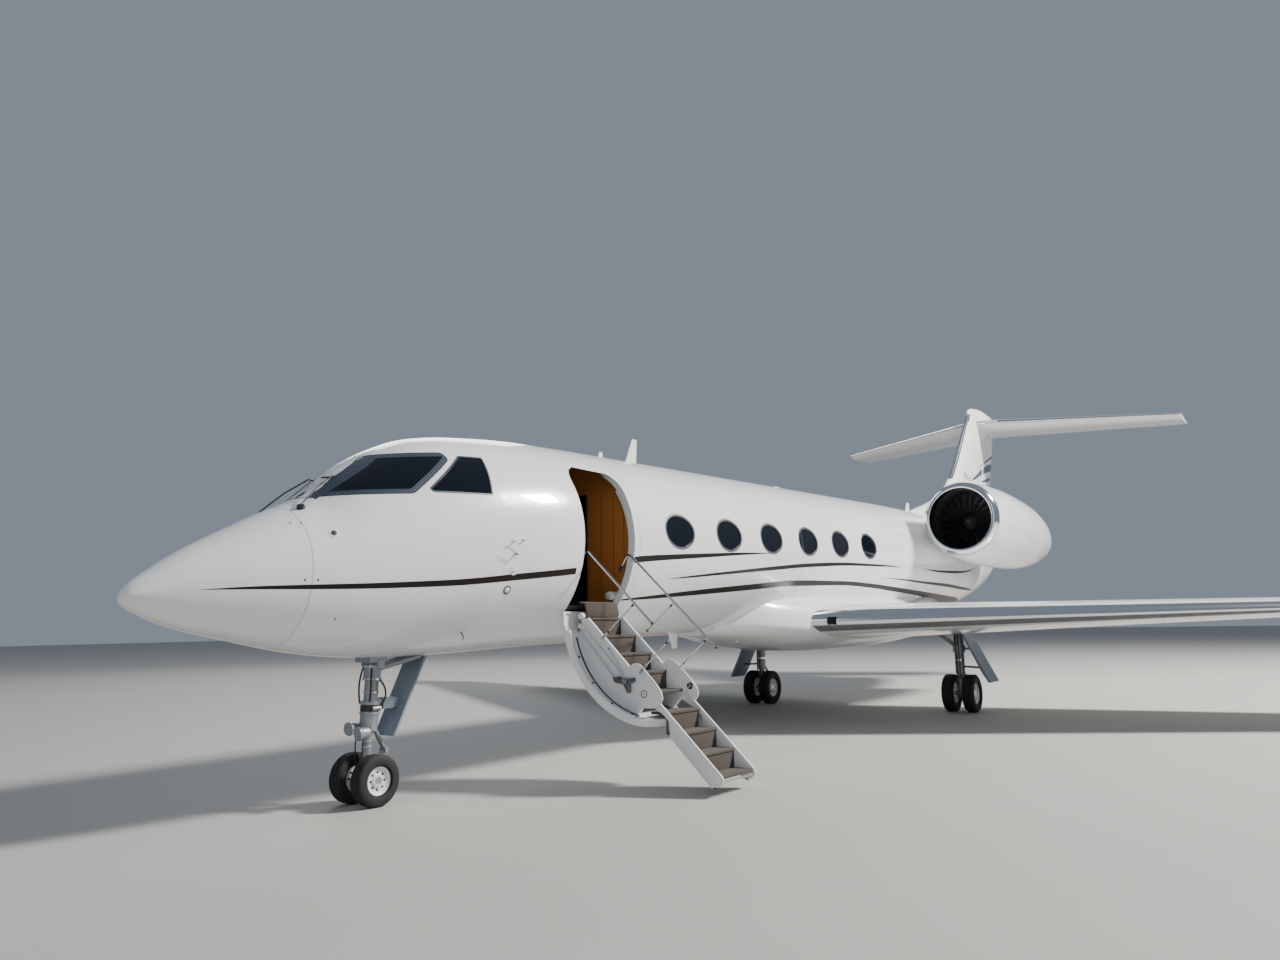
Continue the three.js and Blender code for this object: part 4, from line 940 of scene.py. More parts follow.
def aerofoil(lead, chord, ratio, slope, up, bias=0.5, steps=CHORD_STEPS):
    """A ring round a wing section: over the top from the nose to the tail and back below it."""
    aft = unit([0, 1, slope])
    half = ratio * chord * 2 * half_thickness(steps)
    tail = 0.002 * (steps > 0)
    over = lead + np.outer(steps * chord, aft) + np.outer(bias * half + tail, up)
    under = lead + np.outer(steps * chord, aft) - np.outer((1 - bias) * half + tail, up)
    return np.concatenate([over, under[:0:-1]])


# Widths of the polished leading edges, measured aft
TIP_EDGE, FIN_EDGE, TAIL_EDGE = 0.07, 0.09, 0.06


def polish_nose(thing, test, look=1):
    """Gives the faces whose middles pass a test the polished finish."""
    faces = thing.data.polygons
    index = read(faces, "material_index", 1, np.int32)
    index[test(read(faces, "center", 3))] = look
    faces.foreach_set("material_index", index)


# Columns: x, leading edge station, chord, leading edge z, thickness ratio, slope of the chord
WING = np.array([[1.000, 9.616, 5.574, 1.676, 0.105, -0.028],
                 [4.400, 11.709, 4.327, 1.729, 0.098, -0.015],
                 [11.200, 15.895, 1.834, 1.836, 0.085, 0.015]])
# Columns: x, leading edge station, z, chord, thickness ratio, cant from level
WINGLET = np.array([[11.400, 16.050, 1.905, 1.690, 0.080, 38.0],
                    [11.530, 16.260, 2.120, 1.440, 0.075, 70.0],
                    [11.860, 17.200, 3.080, 0.640, 0.070, 74.0]])
# The share of a wing section's thickness that lies above its chord line
WING_BIAS = 0.56
HINGE_LIFT, MOVING_GAP, END_ROOM = 0.06, 0.008, 0.022


def wing_row(x):
    """The wing's table at any x, straight between its rows."""
    return np.array([np.interp(x, WING[:, 0], WING[:, c]) for c in range(6)])


def wing_ring(row):
    """A wing section from a row of WING."""
    x, lead, chord, z, ratio, slope = row
    return aerofoil(place(x, lead, z), chord, ratio, slope, UP, WING_BIAS)


def winglet_ring(row):
    """A winglet section from a row of WINGLET, turned by its cant."""
    x, lead, z, chord, ratio, cant = row
    cant = np.radians(cant)
    up = np.array([-np.sin(cant), 0, np.cos(cant)])
    return aerofoil(place(x, lead, z), chord, ratio, 0.015, up, WING_BIAS)


def wing_panel(name):
    """The whole port wing as one closed surface, winglet included."""
    rings = [wing_ring(row) for row in (WING[0], WING[1])]
    rings += [wing_ring(wing_row(x)) for x in (6.0, 8.0, 10.0, 11.0)] + [wing_ring(WING[2])]
    t = np.linspace(0, 1, 7)[1:, None]
    bend = WINGLET[0] + (WINGLET[1] - WINGLET[0]) * t
    rings += [winglet_ring(WINGLET[0])] + [winglet_ring(row) for row in bend]
    rings += [winglet_ring(WINGLET[1] + (WINGLET[2] - WINGLET[1]) * k) for k in (0.5, 1.0)]
    return build(name, lofted(rings), [white, polished])


def hinge_point(x, share):
    """A point of a wing hinge: on the chord line, lifted by a share of the thickness there."""
    row = wing_row(x)
    thick = row[2] * row[4] * 2 * half_thickness(np.array(share))
    return place(x, row[1] + share * row[2], row[3] + share * row[2] * row[5]
                 + thick * HINGE_LIFT), float(thick)


def region(a, b, near, far, ahead, square_in_plan=True, up_axis=2):
    """A tall block behind the line from a to b: its outline in plan carried up and down."""
    wide = 0 if up_axis == 2 else 2
    along = unit(b - a)
    pa, pb = a - along * near, b + along * far
    reach = 3.0
    square = np.zeros(3)
    square[wide] = -along[1]
    square[1] = along[wide]
    if not square_in_plan:
        square = np.array([0, 1.0, 0])
    aft = np.array([0, 1.0, 0])
    low = np.zeros(3)
    low[up_axis] = -12.0
    ring = np.stack([pa - aft * ahead, pb - aft * ahead, pb, pb + square * reach, pa + aft * reach])
    ring[:, up_axis] = 0
    return build("region", prism(ring, low, -low), [])


def nose_bar(a, b, ra, rb, grow):
    """A bar along a hinge line, longer at both ends, that becomes a moving surface's round nose."""
    along = unit(b - a)
    return build("nose", rod(a - along * 0.2, b + along * 0.2, ra + grow, 48, end_radius=rb + grow),
                 [])


def split_panel(panel, name, a, b, ra, rb, up_axis=2, end_gap=0.0):
    """Cuts a moving surface from a panel: everything behind the hinge line, plus a round nose."""
    moving, nose_part = copy_of(panel, name), copy_of(panel, "nose_part")
    rest = region(a, b, 0, 0, 0.0005, not end_gap, up_axis)
    shape_with(moving, [rest], "INTERSECT")
    bar_tool, near = nose_bar(a, b, ra, rb, 0), region(a, b, 0, 0, 0.4, not end_gap, up_axis)
    shape_with(bar_tool, [near], "INTERSECT")
    shape_with(nose_part, [bar_tool], "INTERSECT")
    shape_with(moving, [nose_part], "UNION")
    far = END_ROOM + end_gap
    gap_rest = region(a, b, END_ROOM, far, 0.0005, not end_gap, up_axis)
    gap_bar = nose_bar(a, b, ra, rb, MOVING_GAP)
    gap_near = region(a, b, END_ROOM, far, 0.4, not end_gap, up_axis)
    shape_with(gap_bar, [gap_near], "INTERSECT")
    shape_with(panel, [gap_rest, gap_bar], "DIFFERENCE")
    return moving


wing_port = wing_panel("wing_port")
moving = {}
# Columns: name, inboard x and chord share of the hinge, the same outboard, nose share
for name, x0, share0, x1, share1, nose in (("flap", 1.5, 0.8, 8.1, 0.74, 0.64),
                                           ("aileron", 8.3, 0.76, 10.85, 0.76, 0.62)):
    (a, thick_a), (b, thick_b) = hinge_point(x0, share0), hinge_point(x1, share1)
    moving[name] = split_panel(wing_port, name + "_port", a, b, thick_a * nose, thick_b * nose)


def wing_nose(middles):
    """True where a face lies in the first few per cent of the wing's chord, or of the winglet's."""
    x, station, z = middles[:, 0], middles[:, 1] + LENGTH / 2, middles[:, 2]
    lead = np.interp(x, WING[:, 0], WING[:, 1])
    chord = np.interp(x, WING[:, 0], WING[:, 2])
    on_wing = (x < WING[-1, 0]) & (station - lead < 0.035 * chord + 0.02)
    tall = np.interp(z, [1.836, 1.905, 2.12, 3.08], [15.895, 16.05, 16.26, 17.2])
    return on_wing | ((x >= WING[-1, 0]) & (station - tall < TIP_EDGE))


polish_nose(wing_port, wing_nose)
wear_both(wing_port, "wing", "airframe")
for name, thing in moving.items():
    wear_both(thing, name)
print("wing faces:", len(wing_port.data.polygons))

# %% Fin and rudder
# Columns: z, leading edge station, trailing edge station, thickness
FIN = np.array([[3.500, 17.000, 23.400, 0.330], [4.150, 17.500, 23.663, 0.330],
                [4.480, 18.700, 23.802, 0.330], [4.830, 19.800, 23.949, 0.320],
                [5.210, 20.410, 24.108, 0.300], [7.180, 22.360, 24.936, 0.230],
                [7.400, 22.580, 24.200, 0.200]])
RUDDER_SHARE, RUDDER_LOW, RUDDER_TOP, RUDDER_LEAN = 0.7, 4.42, 6.95, 0.58


def fin_ring(z):
    """A level slice of the fin; the dorsal curve is a spline through the leading edge's points."""
    lead = smooth_through(FIN[:, 0], FIN[:, 1], np.array([z]))[0]
    trail, thick = (np.interp(z, FIN[:, 0], FIN[:, c]) for c in (2, 3))
    return aerofoil(place(0, lead, z), trail - lead, thick / (trail - lead), 0, ACROSS)


fin_levels = np.concatenate([np.linspace(3.6, 5.3, 18), np.linspace(5.5, 7.4, 8)])
fin = build("fin", lofted([fin_ring(z) for z in fin_levels]), [white, polished])
fin_row = [np.interp(RUDDER_TOP, FIN[:, 0], FIN[:, c]) for c in (1, 2)]
rudder_top = place(0, fin_row[0] + RUDDER_SHARE * (fin_row[1] - fin_row[0]), RUDDER_TOP)
rudder_low = rudder_top.copy()
rudder_low[1] -= (RUDDER_TOP - RUDDER_LOW) * RUDDER_LEAN
rudder_low[2] = RUDDER_LOW
rudder = split_panel(fin, "rudder", rudder_low, rudder_top, 0.118, 0.084, up_axis=0, end_gap=0.06)


def fin_nose(middles):
    """True where a face lies on the fin's polished leading edge."""
    station, z = middles[:, 1] + LENGTH / 2, middles[:, 2]
    lead = smooth_through(FIN[:, 0], FIN[:, 1], z)
    return (z > 5.25) & (station - lead < FIN_EDGE)


polish_nose(fin, fin_nose)
wear(fin, "airframe", ["fin"])
wear(rudder, "rudder", ["rudder"])
print("rudder faces:", len(rudder.data.polygons))

# %% Tailplane, elevators and bullet
# Columns: x, leading edge station, chord, leading edge z, thickness ratio
TAILPLANE = np.array([[0.0, 22.900, 2.700, 7.200, 0.100], [4.875, 25.5896, 1.600, 7.190, 0.085]])
ELEVATOR_SHARE, ELEVATOR_SPAN, TAIL_SLOPE = 0.68, (0.215, 4.900), -0.01
ELEVATOR_NOSE, BULLET_TALL = 1.18, 1.42
# Columns: station, radius across, height of the middle
BULLET = [[22.540, 0.030, 7.420], [22.860, 0.130, 7.410], [23.600, 0.195, 7.395],
          [24.400, 0.170, 7.395], [24.950, 0.060, 7.400]]


def tail_row(x):
    """The tailplane's table at any x, straight between its rows."""
    return np.array([x] + [np.interp(x, TAILPLANE[:, 0], TAILPLANE[:, c]) for c in (1, 2, 3, 4)])


def tail_ring(x):
    """A tailplane section."""
    _, lead, chord, z, ratio = tail_row(x)
    return aerofoil(place(x, lead, z), chord, ratio, TAIL_SLOPE, UP)


def tail_hinge(x):
    """A point of the elevator's hinge and the radius of its nose there."""
    _, lead, chord, z, ratio = tail_row(x)
    row = place(x, lead + ELEVATOR_SHARE * chord, z + ELEVATOR_SHARE * chord * TAIL_SLOPE)
    return row, float(chord * ratio * half_thickness(np.array(ELEVATOR_SHARE)) * ELEVATOR_NOSE)


def bullet_patches():
    """An egg-shaped fairing whose rings are taller than they are wide by 42 per cent."""
    rows = np.asarray(BULLET)
    stations = rows[0, 0] + (rows[-1, 0] - rows[0, 0]) * (1 - np.cos(np.linspace(0, np.pi, 28))) / 2
    radius, middle = (smooth_through(rows[:, 0], rows[:, c], stations)[:, None] for c in (1, 2))
    angle = np.linspace(0, 2 * np.pi, 40, endpoint=False)
    grid = place(radius * np.cos(angle), stations[:, None], middle + radius * BULLET_TALL * np.sin(angle))
    return lofted(grid)


tail_port = build("tailplane_half", lofted([tail_ring(x) for x in np.linspace(0, TAILPLANE[-1, 0], 9)]),
                  [white, polished])
(tail_a, radius_a), (tail_b, _) = tail_hinge(ELEVATOR_SPAN[0]), tail_hinge(ELEVATOR_SPAN[1])
radius_b = tail_hinge(4.8)[1]
elevator = split_panel(tail_port, "elevator_port", tail_a, tail_b, radius_a, radius_b, end_gap=0.001)
other_half = mirrored(tail_port, "other_half")
bullet = build("bullet", bullet_patches(), [])
shape_with(tail_port, [other_half, bullet], "UNION")
tail_port.name = "tailplane"


def tail_nose(middles):
    """True where a face lies on the tailplane's polished leading edge."""
    x, station = np.abs(middles[:, 0]), middles[:, 1] + LENGTH / 2
    lead = np.interp(x, TAILPLANE[:, 0], TAILPLANE[:, 1])
    return (x > 0.22) & (station - lead < TAIL_EDGE)


polish_nose(tail_port, tail_nose)
wear(tail_port, "airframe", ["tailplane"])
wear_both(elevator, "elevator")
print("tailplane faces:", len(tail_port.data.polygons))

# %% [markdown]
# ## Belly fairing
# The fairing hides where the wing passes under the cabin. Its cross section is a squarish oval:
# sine and cosine raised to a power below one push the curve out towards its corners.

# %% Belly fairing
# Columns: station, half width, bottom z, height of the widest line
FAIRING = np.array([[8.150, 0.480, 1.500, 1.700], [9.050, 1.010, 1.405, 1.680],
                    [10.000, 1.250, 1.265, 1.640], [11.200, 1.330, 1.185, 1.620],
                    [12.600, 1.330, 1.185, 1.620], [14.000, 1.300, 1.225, 1.640],
                    [15.400, 1.180, 1.330, 1.720], [16.900, 0.760, 1.580, 1.880]])
FAIRING_POWER, FAIRING_TOP = 0.8, 0.560


def fairing_grid():
    """Rings of squarish ovals from the fairing's table."""
    stations = np.linspace(FAIRING[0, 0], FAIRING[-1, 0], 60)
    half, bottom, widest = (smooth_through(FAIRING[:, 0], FAIRING[:, c], stations)[:, None]
                            for c in (1, 2, 3))
    angle = np.linspace(0, 2 * np.pi, 96, endpoint=False)[None]
    c, s = np.cos(angle), np.sin(angle)
    reach = np.where(s < 0, widest - bottom, FAIRING_TOP)
    return place(half * np.sign(c) * np.abs(c) ** FAIRING_POWER, stations[:, None],
                 widest + reach * np.sign(s) * np.abs(s) ** FAIRING_POWER)


fairing = build("belly_fairing", lofted(fairing_grid()), [shell_white])
wear(fairing, "airframe", ["belly_fairing"])
print("fairing faces:", len(fairing.data.polygons))

# %% [markdown]
# ## Engines
# A nacelle is a turned shape: the profile of radius against distance runs along the outside, round
# the polished inlet lip and back through the duct. Everything inside turns about the same axis.
# The fan's blades twist from a steep root to a flat tip, which is a grid with one direction along
# the blade and the other round its section.

# %% Nacelles
ENGINE_X, INLET_STATION, INLET_Z = 1.945, 15.020, 3.665
ENGINE_AXIS = unit([0, 1, -0.03])
ENGINE_START = place(ENGINE_X, INLET_STATION, INLET_Z)
# Columns: distance aft of the inlet plane, radius
NACELLE_OUT = np.array([[0, 675], [35, 708], [120, 738], [280, 752], [800, 798], [1800, 830],
                        [3200, 795], [4300, 690], [5150, 530]]) / 1000
NACELLE_IN = np.array([[30, 613], [120, 594], [280, 590], [480, 622], [700, 644], [950, 655],
                       [1600, 700], [3000, 695], [4300, 625], [5150, 500]]) / 1000
# The lip's radii where it begins and how far aft that is, then where polish and liner end
LIP_OUT, LIP_IN, LIP_BACK = 0.675, 0.613, 0.014
POLISH_OUT, POLISH_IN, LINER_END = 0.13, 0.10, 0.46
FAN_STATION, FAN_RADIUS, FAN_BLADES = 0.760, 0.626, 22


def fine_profile(rows, count):
    """The profile's rows joined by smooth cubic pieces along their own length."""
    travel = np.concatenate([[0], np.cumsum(np.linalg.norm(np.diff(rows, axis=0), axis=1))])
    t = np.linspace(0, travel[-1], count)
    return np.stack([smooth_through(travel, rows[:, i], t) for i in (0, 1)], axis=1)


def nacelle_patches():
    """The turned outside, lip and duct, with a look for each stretch of the profile."""
    outside = fine_profile(NACELLE_OUT, 70)
    lip_angle = np.linspace(0, np.pi, 12)[1:-1]
    middle, half = (LIP_OUT + LIP_IN) / 2, (LIP_OUT - LIP_IN) / 2
    lip = np.stack([LIP_BACK - 0.012 * np.sin(lip_angle), middle + half * np.cos(lip_angle)], axis=1)
    outside = outside[outside[:, 0] > LIP_BACK]
    inside = fine_profile(NACELLE_IN, 50)
    profile = np.concatenate([outside[::-1], lip, inside])
    polish = []
    for i in range(len(profile) - 1):
        middle = 0.5 * (profile[i, 0] + profile[i + 1, 0])
        shown = 0 if i < len(outside) else (3 if middle < LINER_END else 2)
        polish.append(1 if middle < (POLISH_OUT if i < len(outside) else POLISH_IN) else shown)
    patches = turned(profile, ENGINE_START, ENGINE_AXIS, 112, looks=polish)
    return patches + turned([profile[-1], profile[0]], ENGINE_START, ENGINE_AXIS, 112, 3)


nacelle_port = build("nacelle_port", nacelle_patches(), [white, polished, duct_grey, bare_steel])
wear_both(nacelle_port, "nacelle", "airframe")
print("nacelle faces:", len(nacelle_port.data.polygons))


# %% Fans
def blade(angle):
    """One fan blade: a thin leaf whose section turns from 25 degrees at the root to 58 at the
    tip and bows forward in the middle."""
    side, up = ACROSS, np.cross(ACROSS, ENGINE_AXIS)
    out = side * np.cos(angle) + up * np.sin(angle)
    across = np.cross(ENGINE_AXIS, out)
    share = np.linspace(0, 1, 12)
    twist = np.radians(25 + 33 * share)[:, None, None]
    half = (0.060 + 0.028 * np.sin(share * np.pi * 0.8))[:, None, None]
    turn = np.linspace(0, 2 * np.pi, 17)[:-1]
    u, v = np.cos(turn)[None, :, None], (np.sin(turn) * 0.05)[None, :, None]
    bow = (0.02 * np.sin(share * np.pi))[:, None, None]
    chord = ENGINE_AXIS * np.cos(twist) + across * np.sin(twist)
    wide = np.cross(np.broadcast_to(out, chord.shape), chord)
    radius = (0.135 + (FAN_RADIUS - 0.140) * share)[:, None, None]
    root = ENGINE_START + ENGINE_AXIS * FAN_STATION
    grid = root + out * radius - ENGINE_AXIS * bow + chord * half * u + wide * half * v
    return lofted(grid)


fan_patches = turned([(FAN_STATION - 0.260, 0), (FAN_STATION - 0.245, 0.022),
                      (FAN_STATION - 0.180, 0.068), (FAN_STATION - 0.100, 0.118),
                      (FAN_STATION - 0.030, 0.152), (FAN_STATION + 0.100, 0.165),
                      (FAN_STATION + 0.100, 0.070), (0.9697, 0.070), (0.9697, 0)],
                     ENGINE_START, ENGINE_AXIS, 48, 1)
for index in range(FAN_BLADES):
    fan_patches += blade(index / FAN_BLADES * 2 * np.pi)
fan_port = build("fan_port", fan_patches, [dark_metal, duct_grey], sharp=60)
wear_both(fan_port, "fan")

vane_patches = turned([(0.970, 0), (0.970, 0.430), (1.3, 0.470), (3.2, 0.450), (3.9, 0.330),
                       (3.9, 0.200), (4.3, 0.13), (4.85, 0.02), (4.85, 0)], ENGINE_START,
                      ENGINE_AXIS, 64)
vane_patches += turned([(1.000, 0), (1.000, 0.656), (1.090, 0.662), (1.090, 0)], ENGINE_START,
                       ENGINE_AXIS, 64, 1)
engine_port = build("engine_port", vane_patches, [bare_steel, duct_grey])
wear_both(engine_port, "engine", "airframe")
print("fan blades:", FAN_BLADES, "a side")

# %% Pylons
# Columns: x, leading edge station, chord, leading edge z
PYLON = [[0.700, 15.750, 4.100, 3.430], [1.500, 15.900, 3.700, 3.640]]
PYLON_RATIO, PARKED_SLOPE = 0.075, 0.025
pylon_rings = [aerofoil(place(x, lead, z), chord, PYLON_RATIO, PARKED_SLOPE, UP)
               for x, lead, chord, z in (np.array(PYLON[0]) + (np.array(PYLON[1]) - PYLON[0]) * k
                                         for k in np.linspace(0, 1, 5))]
pylon_port = build("pylon_port", lofted(pylon_rings), [white])
duct_room = build("duct_room", turned([(0.01, 0), (0.01, 0.62), (0.3, 0.62), (1.6, 0.71),
                                       (3.0, 0.70), (4.3, 0.635), (5.1, 0.51), (5.1, 0)],
                                      ENGINE_START, ENGINE_AXIS, 64), [])
shape_with(pylon_port, [duct_room], "DIFFERENCE")
wear_both(pylon_port, "pylon", "airframe")

# %% [markdown]
# ## Wheels and legs
# A tyre is a turned profile with grooves round its tread, and the wheel is a dished disc with
# holes near its rim. The legs keep the source's solids, which already have their true shapes, and
# get hoses, links and clamps on top.

# %% Wheels
def tyre_profile(radius, width):
    """Half of a tyre from the bead over the sidewall to the tread, with two grooves."""
    half = width / 2
    shape = np.array([[0.78, 0.60], [0.92, 0.60], [0.99, 0.66], [1.0, 0.74], [0.985, 0.83],
                      [0.93, 0.905], [0.84, 0.955], [0.72, 0.982]])
    wall = fine_profile(shape * [half, radius], 22)
    tread = []
    for u in (0.66, 0.24):
        tread += [[(u + 0.05) * half, 0.99 * radius], [(u + 0.04) * half, 0.968 * radius],
                  [(u - 0.04) * half, 0.968 * radius], [(u - 0.05) * half, 0.995 * radius]]
    return np.concatenate([wall, np.array(tread)])


def wheel_patches(centre, radius, width):
    """A tyre and its wheel on both sides of the middle plane."""
    half = tyre_profile(radius, width)
    other = half[::-1] * [-1, 1]
    bead = np.array([[-0.78 * width / 2, 0.55 * radius], [0.78 * width / 2, 0.55 * radius]])
    loop = np.concatenate([half, other, bead, half[:1]])
    patches = turned(loop, centre, ACROSS, 80)
    hub = np.array([[0.66, 0.60], [0.74, 0.595], [0.78, 0.57], [0.70, 0.55], [0.60, 0.52],
                    [0.46, 0.44], [0.40, 0.34], [0.42, 0.27], [0.50, 0.235], [0.62, 0.22],
                    [0.62, 0.12], [0.30, 0.11], [0.30, 0.0]]) * [width / 2, radius]
    back = hub[::-1] * [-1, 1]
    patches += turned(np.concatenate([hub[::-1], [[0.66 * width / 2, 0.60 * radius],
                                                  [-0.66 * width / 2, 0.60 * radius]],
                                      back[::-1]]), centre, ACROSS, 64, 1)
    for face in (-1, 1):
        patches += turned([(0.290 * width / 2, 0.115 * radius), (0.300 * width / 2, 0.115 * radius),
                           (0.330 * width / 2, 0.100 * radius), (0.330 * width / 2, 0)], centre,
                          ACROSS * face, 32, 2)
        patches += turned([(0.62 * width / 2, 0.122 * radius), (0.635 * width / 2, 0.130 * radius),
                           (0.635 * width / 2, 0.150 * radius), (0.62 * width / 2, 0.158 * radius)],
                          centre, ACROSS * face, 40, 3)
        for i in range(WHEEL_HOLES):
            angle = 2 * np.pi * i / WHEEL_HOLES
            spot = centre + np.array([face * 0.405 * width / 2, np.cos(angle) * 0.335 * radius,
                                      np.sin(angle) * 0.335 * radius])
            patches += turned([(-0.01, 0), (-0.01, 0.046 * radius), (0.004, 0.046 * radius),
                               (0.0045, 0.038 * radius), (0.001, 0.034 * radius), (0.001, 0)],
                              spot, ACROSS * face, 14, 2)
        for i in range(WHEEL_BOLTS):
            angle = 2 * np.pi * (i + 0.5) / WHEEL_BOLTS
            spot = centre + np.array([face * 0.62 * width / 2, np.cos(angle) * 0.17 * radius,
                                      np.sin(angle) * 0.17 * radius])
            patches += turned([(-0.004, 0), (-0.004, 0.016 * radius), (0.004, 0.016 * radius),
                               (0.004, 0)], spot, ACROSS * face, 6, 3)
    return patches


def wheel_pair(name, centre, radius, width, spacing):
    """Two wheels and the axle between them, as one piece on the body with their name."""
    patches = []
    for side in (-1, 1):
        patches += wheel_patches(centre + np.array([side * spacing, 0, 0]), radius, width)
    reach = np.array([spacing + width * 0.3, 0, 0])
    patches += rod(centre - reach, centre + reach, radius * AXLE_SHARE, 32, 3)
    wear(build(name, patches, [rubber, hub_white, black, bare_steel]), name, [name])


NOSE_S, MAIN_S, MAIN_X = 2.406, 14.013, 2.085
NOSE_R, NOSE_W, NOSE_SPACING = 0.245, 0.165, 0.165
MAIN_R, MAIN_W, MAIN_SPACING = 0.340, 0.205, 0.185
AXLE_SHARE, WHEEL_HOLES, WHEEL_BOLTS = 0.12, 8, 6
wheel_pair("nose_wheels", place(0, NOSE_S, NOSE_R), NOSE_R, NOSE_W, NOSE_SPACING)
for side, name in ((1, "port"), (-1, "starboard")):
    wheel_pair("main_wheels_" + name, place(side * MAIN_X, MAIN_S, MAIN_R), MAIN_R, MAIN_W,
               MAIN_SPACING)
print("wheels: 6")

# %% [markdown]
# ## The airstair
# The stair hangs from a hinge below the door opening. Its outer wall is a piece of the fuselage
# tube, and two white side plates carry the carpeted treads. The stair is worked out in its own
# axes: t runs down the slope from the hinge, and n stands square to it. The door's wall is cut out
# of a smooth tube where it closes, and then it is turned about the hinge to where it hangs.

# %% Stair axes
HINGE_X, HINGE_Z = 0.846, 1.813
STAIR_SLOPE, OPEN_ANGLE = np.radians(-42.9), np.radians(133.85)
SLOPE = np.array([np.cos(STAIR_SLOPE), 0, np.sin(STAIR_SLOPE)])
NORMAL = np.array([-np.sin(STAIR_SLOPE), 0, np.cos(STAIR_SLOPE)])
FORE_SIDE, AFT_SIDE, PLATE_DEPTH, EAR_DEPTH = 4.500, 5.190, 0.044, 0.017
STRINGER_TOP, FOLD_T, FOLD_N = 0.128, 1.460, 0.130
TREAD_PITCH, FIRST_TREAD, TREAD_NOSE = 0.288, 0.193, 0.117
TREAD_DEPTH, TREAD_THICK = 0.225, 0.030
SHELL_T, SHELL_N, SHELL_INNER = 0.858, 0.832, 1.1187


def stair(t, n, station):
    """A point of the open stair: t down the slope, n square to it, at a station."""
    t, n, station = np.broadcast_arrays(t, n, station)
    return place(HINGE_X, station, HINGE_Z) + t[..., None] * SLOPE + n[..., None] * NORMAL


def stair_plate(points, s0, s1, bevel=0.003, look=0):
    """A closed plate with an outline in t and n between two stations; the outline shrinks by the
    bevel near both faces."""
    rings = []
    for shrink, s in ((bevel, s0), (bevel * 0.3, s0 + bevel * 0.3), (0, s0 + bevel),
                      (0, s1 - bevel), (bevel * 0.3, s1 - bevel * 0.3), (bevel, s1)):
        ring = inward(points, shrink)
        rings.append(stair(ring[:, 0], ring[:, 1], s))
    return [Patch(np.stack(rings), around=True, look=look), Cap(rings[0], look), Cap(rings[-1], look)]


def stair_rod(a, b, radius, look=0, count=16):
    """A bar between two points given as (t, n, station)."""
    return rod(stair(*a), stair(*b), radius, count, look)


print("stair hinge at", HINGE_X, HINGE_Z)


# %% Carpeted treads and risers
def soft_slab(low, high, bevel, look=0):
    """A slab with rounded edges: rings of a rounded rectangle that shrink near both faces."""
    low, high = np.asarray(low, float), np.asarray(high, float)
    middle, half = (low + high) / 2, (high - low) / 2
    turn = np.linspace(0, 2 * np.pi, 24, endpoint=False) + np.pi / 24
    corner = min(0.012, half[0] * 0.6, half[1] * 0.6)
    cx = np.sign(np.cos(turn)) * (half[0] - corner) + corner * np.cos(turn)
    cy = np.sign(np.sin(turn)) * (half[1] - corner) + corner * np.sin(turn)
    u = np.linspace(0, np.pi / 2, 4)
    rings = list(zip(bevel * (1 - np.sin(u)), -half[2] + bevel * (1 - np.cos(u))))
    rings += [(shrink, -z) for shrink, z in reversed(rings)]
    return lofted([np.stack([middle[0] + cx * (1 - s / half[0]), middle[1] + cy * (1 - s / half[1]),
                             np.full(len(cx), middle[2] + z)], axis=1) for s, z in rings], look)


def treads(first, last):
    """Treads with rounded noses, risers between them, and a pair of small catches on each riser."""
    y0, y1 = (s - LENGTH / 2 for s in (FORE_SIDE + PLATE_DEPTH + TOUCH,
                                       AFT_SIDE - PLATE_DEPTH - TOUCH))
    patches = []
    for k in range(first, last + 1):
        nose = stair(FIRST_TREAD + TREAD_PITCH * (k - 1), TREAD_NOSE, DOOR_MIDDLE)
        back = nose[0] - (0.101 if k == 1 else TREAD_DEPTH)
        patches += soft_slab((back, y0, nose[2] - TREAD_THICK), (nose[0], y1, nose[2]), 0.010)
        if k < last:
            below = stair(FIRST_TREAD + TREAD_PITCH * k, TREAD_NOSE, DOOR_MIDDLE)
            patches += soft_slab((nose[0] - 0.030, y0, below[2] - TREAD_THICK),
                                 (nose[0] - 0.012, y1, nose[2] - 0.006), 0.003)
            for z in (-0.062, -0.088):
                patches += turned([(0, 0), (0, 0.006), (0.004, 0.005), (0.005, 0)],
                                  (nose[0] - 0.0125, y1 - 0.05, nose[2] + z), [1, 0, 0], 10, 1)
    return patches


upper_treads = build("upper_treads", treads(1, 5), [carpet, bare_steel])
wear(upper_treads, "airstair_upper", ["upper_treads"])
lower_treads = build("lower_treads", treads(6, 9), [carpet, bare_steel])
wear(lower_treads, "airstair_lower", ["lower_treads"])

# %% [markdown]
# A flap of carpet covers the gap between the cabin floor and the first tread. It is fixed to the
# stair. White drums cover the lift cables: the fore one turns with the stair and the aft one stays
# by the bulkhead.

# %% Landing flap and drums
LANDING = [[-0.040, 0.150], [0.036, 0.197], [0.060, 0.180], [0.140, 0.130], [0.158, 0.080],
           [0.140, 0.072], [0.118, 0.120], [0.045, 0.168], [0.030, 0.172], [-0.036, 0.132]]
landing = build("landing_flap", stair_plate(LANDING, 4.560, 5.140, 0.004), [carpet])
wear(landing, "airstair_upper")
tuple(float(v) for v in stair(0.155, 0.1, DOOR_MIDDLE))
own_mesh(landing)


def drum(s0, s1, t, n, radius):
    """A drum along the stations, with rounded rims."""
    a, b = stair(t, n, s0), stair(t, n, s1)
    wide = np.linalg.norm(b - a)
    return turned([(0, 0), (0, radius - 0.008), (0.003, radius - 0.002), (0.010, radius),
                   (wide - 0.010, radius), (wide - 0.003, radius - 0.002), (wide, radius - 0.010),
                   (wide, 0)], a, b - a, 40)


